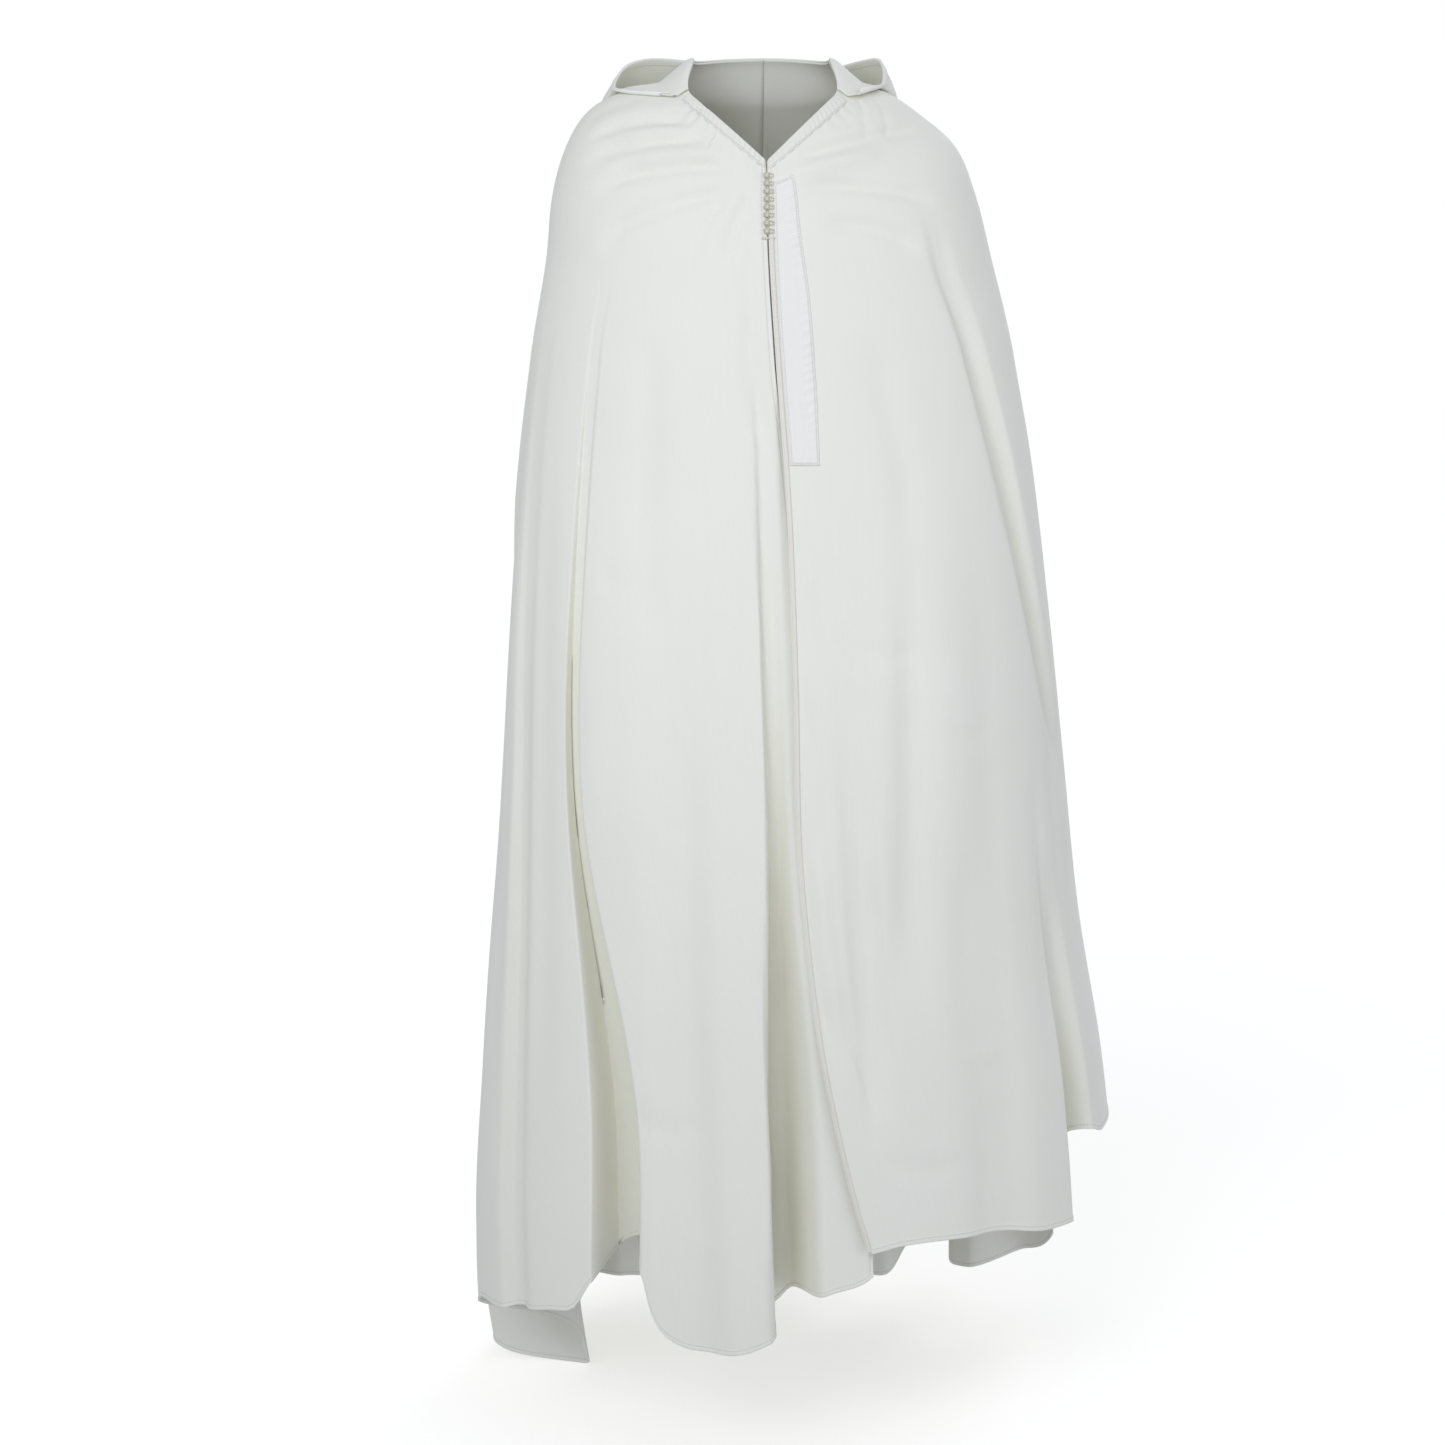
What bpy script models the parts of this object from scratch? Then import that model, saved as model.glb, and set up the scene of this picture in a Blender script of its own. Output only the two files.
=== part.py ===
"""Hooded cloak with a buttoned chest and a lowered pointed hood, held up by a wearer's shoulders.

Metres, +Z up. The wearer faces -Y, so +X is the wearer's left. The origin is the middle of the neck, at the
height where the cloth rests on the shoulders. Every cloth piece is a wall lofted through sections: each section
is a ring round the body, read at an angle (0 in front, +90 at the wearer's left, 180 behind) and at a level
(0 at the neckline, LAST_RING at the bottom of the shoulder cap, LAST_RING + 1 at the hem).
"""

import math

import bmesh
import bpy
import numpy as np

# Cloth and seams
CLOTH = 0.0020
TRIM = 0.0012
SEAM_GAP = 0.0003
FRONT_GAP = 0.0010
BACK_SEAM_GAP = 0.0003

# Mesh of the two halves of the cloak
HALF_COLUMNS = 70
CAP_LEVELS = (0.0, 0.3, 0.6, 1.0, 1.7, 2.5, 3.3, 4.2, 5.2, 6.1)
SKIRT_LEVELS = (0.0, 0.09, 0.19, 0.30, 0.42, 0.54, 0.66, 0.78, 0.89, 1.0)
BEND_WEIGHT = 0.030
EASE_ANGLE = 34.0

# Columns beside each front edge, as distances from it. The trims of the wearer's left front use the same ones.
LEFT_EDGE_COLUMNS = (0.0, 0.0012, 0.0054, 0.0080, 0.0200, 0.0320, 0.0440)
RIGHT_EDGE_COLUMNS = (0.0, 0.012)

# Rings of the shoulder cap. half_right and half_left are the wearer's; the z columns are the ring's height at
# the shoulder line, at the centre front and at the centre back.
CAP_COLUMNS = ("half_right", "half_left", "front", "back", "side_z", "front_z", "back_z", "roundness")
CAP_RINGS = (
    (0.105, 0.096, 0.118, 0.070, 0.010, -0.086, 0.022, 2.00),
    (0.126, 0.114, 0.126, 0.098, 0.007, -0.101, -0.008, 2.10),
    (0.166, 0.139, 0.134, 0.122, 0.000, -0.118, -0.042, 2.20),
    (0.202, 0.172, 0.140, 0.138, -0.021, -0.137, -0.076, 2.25),
    (0.226, 0.216, 0.145, 0.148, -0.059, -0.158, -0.112, 2.30),
    (0.242, 0.240, 0.150, 0.156, -0.113, -0.187, -0.155, 2.30),
    (0.251, 0.261, 0.155, 0.162, -0.190, -0.228, -0.212, 2.30),
    (0.268, 0.287, 0.162, 0.168, -0.286, -0.286, -0.286, 2.30),
    (0.284, 0.309, 0.174, 0.176, -0.401, -0.401, -0.401, 2.30),
)
LAST_RING = 7
HEM_LEVEL = LAST_RING + 1.0

# The neckline stands up beside and behind the neck, and leans in towards it
STAND_RISE = 0.026
STAND_LEAN = 0.024
STAND_FROM = 48.0
STAND_TO = 82.0
STAND_LEVELS = 0.9

# Girth of the skirt below the cap, by height
SKIRT_COLUMNS = ("z", "half_right", "half_left", "front", "back", "roundness")
SKIRT_GIRTHS = (
    (-0.286, 0.268, 0.287, 0.162, 0.168, 2.30),
    (-0.401, 0.284, 0.309, 0.174, 0.176, 2.30),
    (-0.577, 0.301, 0.333, 0.194, 0.188, 2.30),
    (-0.760, 0.314, 0.355, 0.214, 0.203, 2.25),
    (-0.941, 0.326, 0.377, 0.233, 0.222, 2.20),
    (-1.128, 0.340, 0.411, 0.248, 0.246, 2.15),
    (-1.321, 0.352, 0.432, 0.260, 0.268, 2.10),
    (-1.440, 0.350, 0.436, 0.264, 0.277, 2.10),
    (-1.560, 0.334, 0.440, 0.268, 0.286, 2.10),
)

# Height of the hem by angle. The two fronts overlap between 0 and 20 degrees, so each half has its own row set.
HEM_COLUMNS = ("angle", "z")
HEM_RIGHT = (
    (-180, -1.495),
    (-152, -1.500),
    (-138, -1.482),
    (-118, -1.512),
    (-103, -1.508),
    (-97.5, -1.520),
    (-95, -1.535),
    (-92, -1.541),
    (-88, -1.522),
    (-84.5, -1.500),
    (-81.5, -1.452),
    (-78, -1.425),
    (-60, -1.400),
    (-43, -1.376),
    (-37, -1.366),
    (-33.6, -1.336),
    (-30, -1.312),
    (-26, -1.300),
    (-23.5, -1.299),
    (-22, -1.318),
    (-20.5, -1.354),
    (-17.5, -1.386),
    (-11, -1.402),
    (-2, -1.396),
    (2.6, -1.376),
    (7, -1.341),
    (14, -1.322),
    (18, -1.300),
    (24, -1.292),
)
HEM_LEFT = (
    (0, -1.290),
    (14, -1.287),
    (20, -1.279),
    (35, -1.278),
    (50, -1.288),
    (55.4, -1.288),
    (57.6, -1.276),
    (59.4, -1.250),
    (61.6, -1.208),
    (72, -1.199),
    (82, -1.197),
    (90, -1.194),
    (96, -1.187),
    (100, -1.196),
    (105, -1.240),
    (111, -1.290),
    (119, -1.420),
    (129, -1.458),
    (137, -1.468),
    (146, -1.452),
    (154, -1.478),
    (160, -1.496),
    (166, -1.480),
    (180, -1.495),
)

# Folds. Angles are in degrees: the fold's line runs from top_angle at FOLD_TOP_Z to hem_angle at FOLD_HEM_Z,
# straight down the cloth where turn is 0 and all within TURN_FROM to TURN_TO of the way where it is 1. core is half
# its flat width, before and after are how far its walls reach on either side, and all three are narrow times as
# wide at the top. reach is how far it pushes the cloth, along push_x and push_y. It grows from z_start to z_full
# and dies out from z_fade to z_end.
FOLD_TOP_Z = -0.20
FOLD_HEM_Z = -1.45
FOLD_GROWTH = 1.30
TURN_FROM = 0.33
TURN_TO = 0.85
NARROW_FROM = 0.40
NARROW_TO = 0.82
NARROW_SHALLOW = 0.80
FOLD_COLUMNS = (
    "half", "top_angle", "hem_angle", "turn", "core", "before", "after", "narrow", "reach",
    "push_x", "push_y", "z_start", "z_full", "z_fade", "z_end",
)
NEVER = -9.0
FOLDS = (
    ("right", -41.8, -28, 1, 2.6, 2.8, 3.5, 0.48, 0.078, 0.22, 0.97, -0.20, -1.30, NEVER, NEVER),
    ("right", -66, -54, 0, 0.5, 6.0, 6.0, 1, 0.014, 0.45, 0.89, -0.20, -0.90, NEVER, NEVER),
    ("right", -20, -12, 0, 0.5, 8.0, 8.0, 1, 0.012, 0.20, 0.98, -0.60, -1.20, NEVER, NEVER),
    ("right", -1.6, 3.6, 0, 0.8, 1.6, 4.4, 0.44, 0.084, -0.12, 0.99, -0.20, -1.25, NEVER, NEVER),
    ("right", 30, 30, 0, 27.0, 3.5, 3.5, 1, 0.008, 0.00, 1.00, -0.29, -0.36, NEVER, NEVER),
    ("right", -32, -26, 0, 3.0, 14.0, 14.0, 1, -0.008, 0.30, 0.95, -0.40, -0.66, -0.72, -1.00),
    ("right", -90, -87, 0, 3.0, 8.0, 6.0, 1, 0.122, 1.00, 0.05, -0.45, -1.42, NEVER, NEVER),
    ("left", 8, 19, 0, 0.4, 3.2, 3.6, 1, 0.010, 0.00, 1.00, -0.62, -0.92, -0.98, -1.22),
    ("left", 26, 22, 0, 0.5, 4.5, 5.5, 1, 0.010, -0.25, 0.97, -0.42, -0.70, -0.80, -1.12),
    ("left", 30, 26, 0, 3.0, 14.0, 14.0, 1, -0.008, -0.30, 0.95, -0.40, -0.66, -0.72, -1.00),
    ("left", 40, 38, 0, 0.5, 9.0, 9.0, 1, 0.008, -0.50, 0.87, -0.70, -1.15, NEVER, NEVER),
    ("left", 46, 103, 0, 0.5, 4.6, 7.0, 1, 0.018, -0.60, 0.80, -0.12, -0.36, -0.56, -0.84),
    ("left", 57.5, 59.6, 0, 0.8, 2.8, 7.5, 0.8, 0.060, -0.62, 0.78, -0.84, -1.30, NEVER, NEVER),
    ("left", 112, 108, 0, 3.0, 9.0, 9.0, 1, 0.105, -0.97, 0.25, -0.30, -1.38, NEVER, NEVER),
    ("both", -138, -141, 0, 1.5, 9.0, 9.0, 1, 0.085, 0.62, -0.78, -0.30, -1.45, NEVER, NEVER),
    ("both", -163, -167, 0, 1.0, 9.0, 9.0, 1, 0.070, 0.20, -0.98, -0.34, -1.45, NEVER, NEVER),
    ("both", 167, 161, 0, 1.5, 8.0, 9.0, 1, 0.085, 0.00, -1.00, -0.30, -1.45, NEVER, NEVER),
    ("both", 139, 136, 0, 1.0, 9.0, 9.0, 1, 0.074, -0.60, -0.80, -0.32, -1.45, NEVER, NEVER),
)

# The front edges, as distances from the centre line. The wearer's left front lies over the right one.
EDGE_COLUMNS = ("z", "over_x", "overlap")
FRONT_EDGES = (
    (0.000, 0.000, -0.0010),
    (-0.165, 0.001, -0.0010),
    (-0.300, 0.009, -0.0010),
    (-0.360, 0.0137, 0.0008),
    (-0.413, 0.018, 0.0030),
    (-0.500, 0.023, 0.0060),
    (-0.667, 0.029, 0.0080),
    (-0.830, 0.033, 0.0100),
    (-0.950, 0.044, 0.0100),
    (-1.050, 0.057, 0.0090),
    (-1.150, 0.077, 0.0070),
    (-1.240, 0.099, 0.0060),
    (-1.290, 0.113, 0.0045),
    (-1.400, 0.119, 0.0035),
)

# The hood. bottom_level is how far down the cloak its fold lies; the rim columns place its free edge.
HOOD_START = 56.0
HOOD_COLUMNS = 44
HOOD_INNER_SHARES = (0.0, 0.05, 0.10, 0.17, 0.30, 0.50, 0.75, 1.0)
HOOD_OUTER_ROWS = 9
HOOD_SEAM_LIFT = CLOTH + 0.0008
HOOD_LIFT = 0.0062
HOOD_LIFT_LEVELS = 0.25
HOOD_TABLE_COLUMNS = ("angle", "bottom_level", "rim_x", "rim_y", "rim_z", "bulge")
HOOD_TABLE = (
    (-56, 0.60, -0.106, -0.066, -0.0065, 0.000),
    (-66, 1.15, -0.133, -0.056, -0.0038, 0.000),
    (-78, 1.70, -0.160, -0.036, 0.0006, 0.001),
    (-90, 2.10, -0.171, -0.004, 0.010, 0.002),
    (-104, 2.60, -0.160, 0.040, 0.036, 0.004),
    (-120, 3.30, -0.135, 0.078, 0.050, 0.007),
    (-140, 4.85, -0.090, 0.114, 0.053, 0.012),
    (-150, 5.75, -0.066, 0.128, 0.051, 0.017),
    (-160, 6.60, -0.042, 0.138, 0.049, 0.021),
    (-170, 7.015, -0.021, 0.145, 0.046, 0.024),
    (-180, 7.055, 0.000, 0.147, 0.045, 0.025),
    (-190, 7.015, 0.021, 0.145, 0.044, 0.024),
    (-200, 6.60, 0.040, 0.138, 0.044, 0.021),
    (-210, 5.75, 0.062, 0.128, 0.045, 0.017),
    (-220, 4.85, 0.082, 0.113, 0.045, 0.012),
    (-240, 3.30, 0.110, 0.076, 0.047, 0.007),
    (-256, 2.40, 0.130, 0.036, 0.044, 0.004),
    (-270, 1.90, 0.134, -0.004, 0.026, 0.002),
    (-282, 1.50, 0.130, -0.036, 0.008, 0.001),
    (-294, 1.10, 0.118, -0.056, 0.002, 0.000),
    (-304, 0.60, 0.104, -0.066, -0.002, 0.000),
)

# Trims that lie on the cloth
NECK_BAND_ROWS = (0, 1, 2)
NECK_BAND_TO = 53.0
FACING_TOP_Z = -0.110
FACING_BOTTOM_Z = -0.413
BRAID_TOP_Z = -0.168
BRAID_END_SHARE = 0.03

# The chest fastening: knotted ball buttons, each held in a cord loop
BUTTON_COUNT = 8
BUTTON_TOP_Z = -0.1010
BUTTON_PITCH = 0.0086
BUTTON_RADIUS = 0.0028
BUTTON_STAND = 0.0005
LOOP_CORD_RADIUS = 0.0007
LOOP_TAIL = 0.0040
LOOP_POINTS = 8

COLOURS = {
    "cloak_cloth": (0.855, 0.850, 0.795),
    "hood_cloth": (0.855, 0.850, 0.795),
    "trim": (0.880, 0.880, 0.845),
    "button_cord": (0.790, 0.760, 0.665),
}


def smooth_step(value):
    """0 below 0, 1 above 1, and an even S between."""
    held = np.clip(value, 0.0, 1.0)
    return held * held * held * (10.0 - 15.0 * held + 6.0 * held * held)


def table_column(table, names, name):
    """One named column of a table as an array."""
    return np.array([row[names.index(name)] for row in table], float)


def through_rows(keys, values, at):
    """A smooth curve through the table's rows, read at the keys given: cubic pieces with limited slopes."""
    if keys[0] > keys[-1]:
        keys, values = keys[::-1], values[::-1]
    steps = np.diff(keys)
    rises = np.diff(values) / steps
    slopes = np.concatenate([rises[:1], (rises[:-1] + rises[1:]) / 2, rises[-1:]])
    turning = np.concatenate([[False], rises[:-1] * rises[1:] <= 0, [False]])
    slopes = np.where(turning, 0.0, slopes)
    at = np.clip(at, keys[0], keys[-1])
    left = np.clip(np.searchsorted(keys, at, side="right") - 1, 0, len(keys) - 2)
    width = steps[left]
    share = (at - keys[left]) / width
    return (
        values[left] * (1 + 2 * share) * (1 - share) ** 2
        + values[left + 1] * share**2 * (3 - 2 * share)
        + slopes[left] * width * share * (1 - share) ** 2
        - slopes[left + 1] * width * share**2 * (1 - share)
    )


def wrapped(angle):
    """An angle in degrees brought to between -180 and 180."""
    return (angle + 180.0) % 360.0 - 180.0


def cap_value(name, level):
    rings = np.arange(len(CAP_RINGS), dtype=float)
    return through_rows(rings, table_column(CAP_RINGS, CAP_COLUMNS, name), level)


def skirt_value(name, z):
    heights = table_column(SKIRT_GIRTHS, SKIRT_COLUMNS, "z")
    return through_rows(heights, table_column(SKIRT_GIRTHS, SKIRT_COLUMNS, name), z)


def hem_height(half, angle):
    table = HEM_RIGHT if half == "right" else HEM_LEFT
    return through_rows(table_column(table, HEM_COLUMNS, "angle"), table_column(table, HEM_COLUMNS, "z"), angle)


def stand_share(angle, level):
    """How much a point belongs to the standing neckline: 1 at its top behind the neck, and 0 in front and below."""
    beside = smooth_step((np.abs(angle) - STAND_FROM) / (STAND_TO - STAND_FROM))
    return beside * smooth_step(1.0 - level / STAND_LEVELS)


def ring_height(half, angle, level):
    """Height of a point of the cloak: the cap's rings dip in front and behind, and the skirt's run to the hem."""
    cosine = np.cos(np.radians(angle))
    sine = np.abs(np.sin(np.radians(angle)))
    cap_level = np.minimum(level, LAST_RING)
    side = cap_value("side_z", cap_level)
    front = cap_value("front_z", cap_level)
    back = cap_value("back_z", cap_level)
    vee = np.clip(1.0 - cap_level / 3.0, 0.0, 1.0)
    front_share = vee * sine + (1.0 - vee) * sine**2
    cap_z = np.where(cosine > 0, front + (side - front) * front_share, back + (side - back) * sine**2)
    cap_z = cap_z + STAND_RISE * stand_share(angle, level)
    cap_end = CAP_RINGS[LAST_RING][CAP_COLUMNS.index("side_z")]
    skirt_z = cap_end + (hem_height(half, angle) - cap_end) * (level - LAST_RING)
    return np.where(level <= LAST_RING, cap_z, skirt_z)


def folds_of(half):
    """The folds of one half, each as a dictionary of its table row."""
    rows = [dict(zip(FOLD_COLUMNS, row)) for row in FOLDS]
    return [fold for fold in rows if fold["half"] in (half, "both")]


def down_share(z):
    """How far down its line a fold is at a height: 0 at FOLD_TOP_Z and 1 at FOLD_HEM_Z."""
    return np.clip((FOLD_TOP_Z - z) / (FOLD_TOP_Z - FOLD_HEM_Z), 0.0, 1.0)


def fold_line(fold, z):
    """The angle of a fold's line at a height, and how wide the fold is there beside its width at the hem."""
    share = down_share(z)
    turned = smooth_step((share - TURN_FROM) / (TURN_TO - TURN_FROM))
    share_along = share + (turned - share) * fold["turn"]
    line = fold["top_angle"] + (fold["hem_angle"] - fold["top_angle"]) * share_along
    opened = smooth_step((share - NARROW_FROM) / (NARROW_TO - NARROW_FROM))
    return line, fold["narrow"] + (1.0 - fold["narrow"]) * opened


def fold_push(half, angle, z):
    """How far all the folds move a point, in X and Y."""
    moved_x = np.zeros(np.broadcast(angle, z).shape)
    moved_y = np.zeros_like(moved_x)
    for fold in folds_of(half):
        line, scale = fold_line(fold, z)
        off = wrapped(angle - line) / scale
        wall = np.where(off < 0, fold["before"], fold["after"])
        shape = smooth_step(1.0 - (np.abs(off) - fold["core"]) / wall) * scale**NARROW_SHALLOW
        grown = np.clip((fold["z_start"] - z) / (fold["z_start"] - fold["z_full"]), 0.0, 1.0) ** FOLD_GROWTH
        died = smooth_step((fold["z_fade"] - z) / (fold["z_fade"] - fold["z_end"] + 1e-9))
        amount = fold["reach"] * shape * grown * (1.0 - died)
        moved_x = moved_x + amount * fold["push_x"]
        moved_y = moved_y + amount * fold["push_y"]
    return moved_x, moved_y


def cloak_point(half, angle, level):
    """The middle of the cloak's wall at an angle and a level, as an array of XYZ."""
    angle, level = np.broadcast_arrays(np.asarray(angle, float), np.asarray(level, float))
    turned = wrapped(angle)
    own_side = np.where(turned == -180.0, -180.0 if half == "right" else 180.0, turned)
    z = ring_height(half, own_side, level)
    in_cap = level <= LAST_RING
    cap_level = np.minimum(level, LAST_RING)
    sine, cosine = np.sin(np.radians(turned)), np.cos(np.radians(turned))

    def girth(name):
        return np.where(in_cap, cap_value(name, cap_level), skirt_value(name, z))

    half_width = np.where(sine < 0, girth("half_right"), girth("half_left"))
    depth = np.where(cosine > 0, girth("front"), girth("back"))
    power = 2.0 / girth("roundness")
    half_width = half_width - STAND_LEAN * stand_share(turned, level) * np.abs(sine)
    x = half_width * np.sign(sine) * np.abs(sine) ** power
    y = -depth * np.sign(cosine) * np.abs(cosine) ** power
    push_x, push_y = fold_push(half, turned, z)
    return np.stack([x + push_x, y + push_y, z], axis=-1)


def cloak_normal(half, angle, level):
    """The outward unit normal of the cloak's wall, from small steps along the ring and down the cloth."""
    turn, step = 0.25, 0.004
    lower = np.minimum(level + step, LAST_RING + 1.0)
    upper = np.maximum(level - step, 0.0)
    around = cloak_point(half, angle + turn, level) - cloak_point(half, angle - turn, level)
    down = cloak_point(half, angle, lower) - cloak_point(half, angle, upper)
    normal = np.cross(down, around)
    return normal / np.linalg.norm(normal, axis=-1, keepdims=True)


def front_edge_angle(half, level):
    """The angle at which a level meets the front edge of its half."""
    z = ring_height(half, 0.0, level)
    heights = table_column(FRONT_EDGES, EDGE_COLUMNS, "z")
    over_x = through_rows(heights, table_column(FRONT_EDGES, EDGE_COLUMNS, "over_x"), z)
    overlap = through_rows(heights, table_column(FRONT_EDGES, EDGE_COLUMNS, "overlap"), z)
    edge_x = float(over_x + FRONT_GAP / 2 if half == "left" else over_x + overlap)
    side = "half_right" if edge_x < 0 else "half_left"
    in_cap = level <= LAST_RING
    width = cap_value(side, level) if in_cap else skirt_value(side, z)
    roundness = cap_value("roundness", level) if in_cap else skirt_value("roundness", z)
    return math.copysign(math.degrees(math.asin((abs(edge_x) / width) ** (roundness / 2.0))), edge_x)


def evenly_spread(half, level, first, last, count):
    """Angles along one ring, spaced by the cloth's own length, and closer where it bends."""
    angles = np.linspace(first, last, 1601)
    steps = np.diff(cloak_point(half, angles, level), axis=0)
    headings = np.unwrap(np.arctan2(steps[:, 1], steps[:, 0]))
    bends = np.abs(np.gradient(headings))
    walked = np.concatenate([[0.0], np.cumsum(np.linalg.norm(steps, axis=1) + BEND_WEIGHT * bends)])
    return np.interp(np.linspace(0.0, walked[-1], count), walked, angles)


def angles_along(half, level, start, distances):
    """Angles at distances along one ring from its front edge."""
    far = np.linspace(start, start + (50.0 if half == "left" else -50.0), 800)
    steps = np.diff(cloak_point(half, far, level), axis=0)
    walked = np.concatenate([[0.0], np.cumsum(np.linalg.norm(steps, axis=1))])
    return np.interp(distances, walked, far)


def guide_angles(guides, heights):
    """The angle of each guide at each height: heights has a row for each level and a column for each guide."""
    found = []
    for (fold, off), column in zip(guides, np.transpose(heights)):
        line, scale = fold_line(fold, column)
        found.append(line + off * scale)
    return np.transpose(found)


def guides_of(half):
    """The lines down the cloth that its columns keep to: each fold's own, and the ends of a narrowing fold's walls."""
    guides = []
    for fold in folds_of(half):
        if fold["z_end"] == NEVER:
            ends = (-fold["core"] - fold["before"], fold["core"] + fold["after"]) if fold["narrow"] < 1 else ()
            guides += [(fold, off) for off in (0.0,) + ends]
    return guides


def cloak_grid(half):
    """One half of the cloak as a grid of middle points and normals. Its first columns keep their distances from the
    front edge, and the rest run down along the folds to the centre back seam."""
    levels = np.array(list(CAP_LEVELS) + [LAST_RING + share for share in SKIRT_LEVELS])
    distances = LEFT_EDGE_COLUMNS if half == "left" else RIGHT_EDGE_COLUMNS
    back = 180.0 if half == "left" else -180.0
    starts = [angles_along(half, level, front_edge_angle(half, level), distances) for level in levels]
    hem = evenly_spread(half, HEM_LEVEL, starts[-1][-1], back, HALF_COLUMNS - len(distances) + 1)
    guides = guides_of(half)
    at_hem = guide_angles(guides, np.full((1, len(guides)), FOLD_HEM_Z))
    for _ in range(4):
        at_hem = guide_angles(guides, hem_height(half, at_hem))
    inside = [i for i in np.argsort(at_hem[0]) if (at_hem[0, i] - hem[0]) * back > 90 and abs(at_hem[0, i] - back) > 1.5]
    kept = [guides[i] for i in inside]
    placed = np.repeat(at_hem[:, inside], len(levels), axis=0)
    for _ in range(4):
        placed = guide_angles(kept, ring_height(half, placed, levels[:, None]))
    front = starts[len(CAP_LEVELS)][-1]
    rows = []
    for level, start, marks in zip(levels, starts, placed):
        first = front + (hem[0] - front) * down_share(ring_height(half, hem[0], level))
        at_row = np.concatenate([[first], marks, [back]] if half == "left" else [[back], marks, [first]])
        at_bottom = np.concatenate([[hem[0]], at_hem[0, inside], [back]])
        at_row = np.maximum.accumulate(at_row)
        angles = np.interp(hem, np.sort(at_bottom), at_row)
        ease = smooth_step(1.0 - np.abs(angles - angles[0]) / EASE_ANGLE)
        rows.append(np.concatenate([start[:-1], angles + (start[-1] - angles[0]) * ease]))
    angles = np.array(rows)
    grid_levels = np.repeat(levels[:, None], angles.shape[1], axis=1)
    middle = cloak_point(half, angles, grid_levels)
    normals = cloak_normal(half, angles, grid_levels)
    middle[:, -1, 0] = math.copysign(BACK_SEAM_GAP / 2, back)
    normals[:, [0, -1], 0] = 0.0
    normals = normals / np.linalg.norm(normals, axis=-1, keepdims=True)
    return {"angles": angles, "middle": middle, "normals": normals}


def patch_of(panel, row_marks, column_marks):
    """Middle points and normals at fractional rows and columns of a panel, so that a trim keeps to its faces."""
    rows, columns = np.asarray(row_marks, float), np.asarray(column_marks, float)
    low_row = np.minimum(rows.astype(int), panel["middle"].shape[0] - 2)
    low_column = np.minimum(columns.astype(int), panel["middle"].shape[1] - 2)
    row_share = (rows - low_row)[:, None, None]
    column_share = (columns - low_column)[None, :, None]
    found = []
    for field in (panel["middle"], panel["normals"]):
        upper = field[low_row][:, low_column] * (1 - column_share) + field[low_row][:, low_column + 1] * column_share
        lower = field[low_row + 1][:, low_column] * (1 - column_share)
        lower = lower + field[low_row + 1][:, low_column + 1] * column_share
        found.append(upper * (1 - row_share) + lower * row_share)
    return found


def marks_between(first, last):
    """first, every whole number after it, and last."""
    return [first] + list(range(math.floor(first) + 1, math.ceil(last))) + [last]


def row_at(panel, column, z):
    """The fractional row at which a column of a panel passes a height."""
    heights = panel["middle"][:, column, 2]
    return float(np.interp(-z, -heights, np.arange(len(heights))))


def shell_mesh(name, middle, normals, outer, inner):
    """A closed wall round a grid of middle points: outer and inner are its faces' distances along the normals."""
    rows, columns = middle.shape[:2]
    outside = middle + normals * outer
    inside = middle + normals * inner
    points = np.concatenate([outside.reshape(-1, 3), inside.reshape(-1, 3)])
    index = np.arange(rows * columns).reshape(rows, columns)
    a, b, c, d = index[:-1, :-1], index[:-1, 1:], index[1:, 1:], index[1:, :-1]
    front = np.stack([a, b, c, d], axis=-1).reshape(-1, 4)
    back = front[:, ::-1] + rows * columns
    border = np.concatenate([index[0, :], index[1:, -1], index[-1, -2::-1], index[-2:0:-1, 0]])
    following = np.roll(border, -1)
    rim = np.stack([following, border, border + rows * columns, following + rows * columns], axis=-1)
    mesh = bpy.data.meshes.new(name)
    mesh.from_pydata(points.tolist(), [], np.concatenate([front, back, rim]).tolist())
    shell = bmesh.new()
    shell.from_mesh(mesh)
    bmesh.ops.recalc_face_normals(shell, faces=shell.faces)
    shell.to_mesh(mesh)
    shell.free()
    return mesh


def material(name):
    """One material for each slot: matt cloth or cord."""
    made = bpy.data.materials.get(name)
    if made is None:
        made = bpy.data.materials.new(name)
        made.use_nodes = True
        shader = made.node_tree.nodes["Principled BSDF"]
        shader.inputs["Base Color"].default_value = (*COLOURS[name], 1.0)
        shader.inputs["Roughness"].default_value = 0.88
        shader.inputs["Metallic"].default_value = 0.0
    return made


def add_piece(name, mesh, slot, collection):
    """Puts a mesh in the scene as one named piece."""
    mesh.materials.append(material(slot))
    piece = bpy.data.objects.new(name, mesh)
    collection.objects.link(piece)
    return piece


def make_cloak_half(half, panel, collection):
    """One half of the cloak, from its front edge round to the centre back seam."""
    name = f"cloak_{half}"
    mesh = shell_mesh(name, panel["middle"], panel["normals"], CLOTH / 2, -CLOTH / 2)
    return add_piece(name, mesh, "cloak_cloth", collection)


def hood_value(name, angle):
    angles = table_column(HOOD_TABLE, HOOD_TABLE_COLUMNS, "angle")
    return through_rows(angles, table_column(HOOD_TABLE, HOOD_TABLE_COLUMNS, name), angle)


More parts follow.
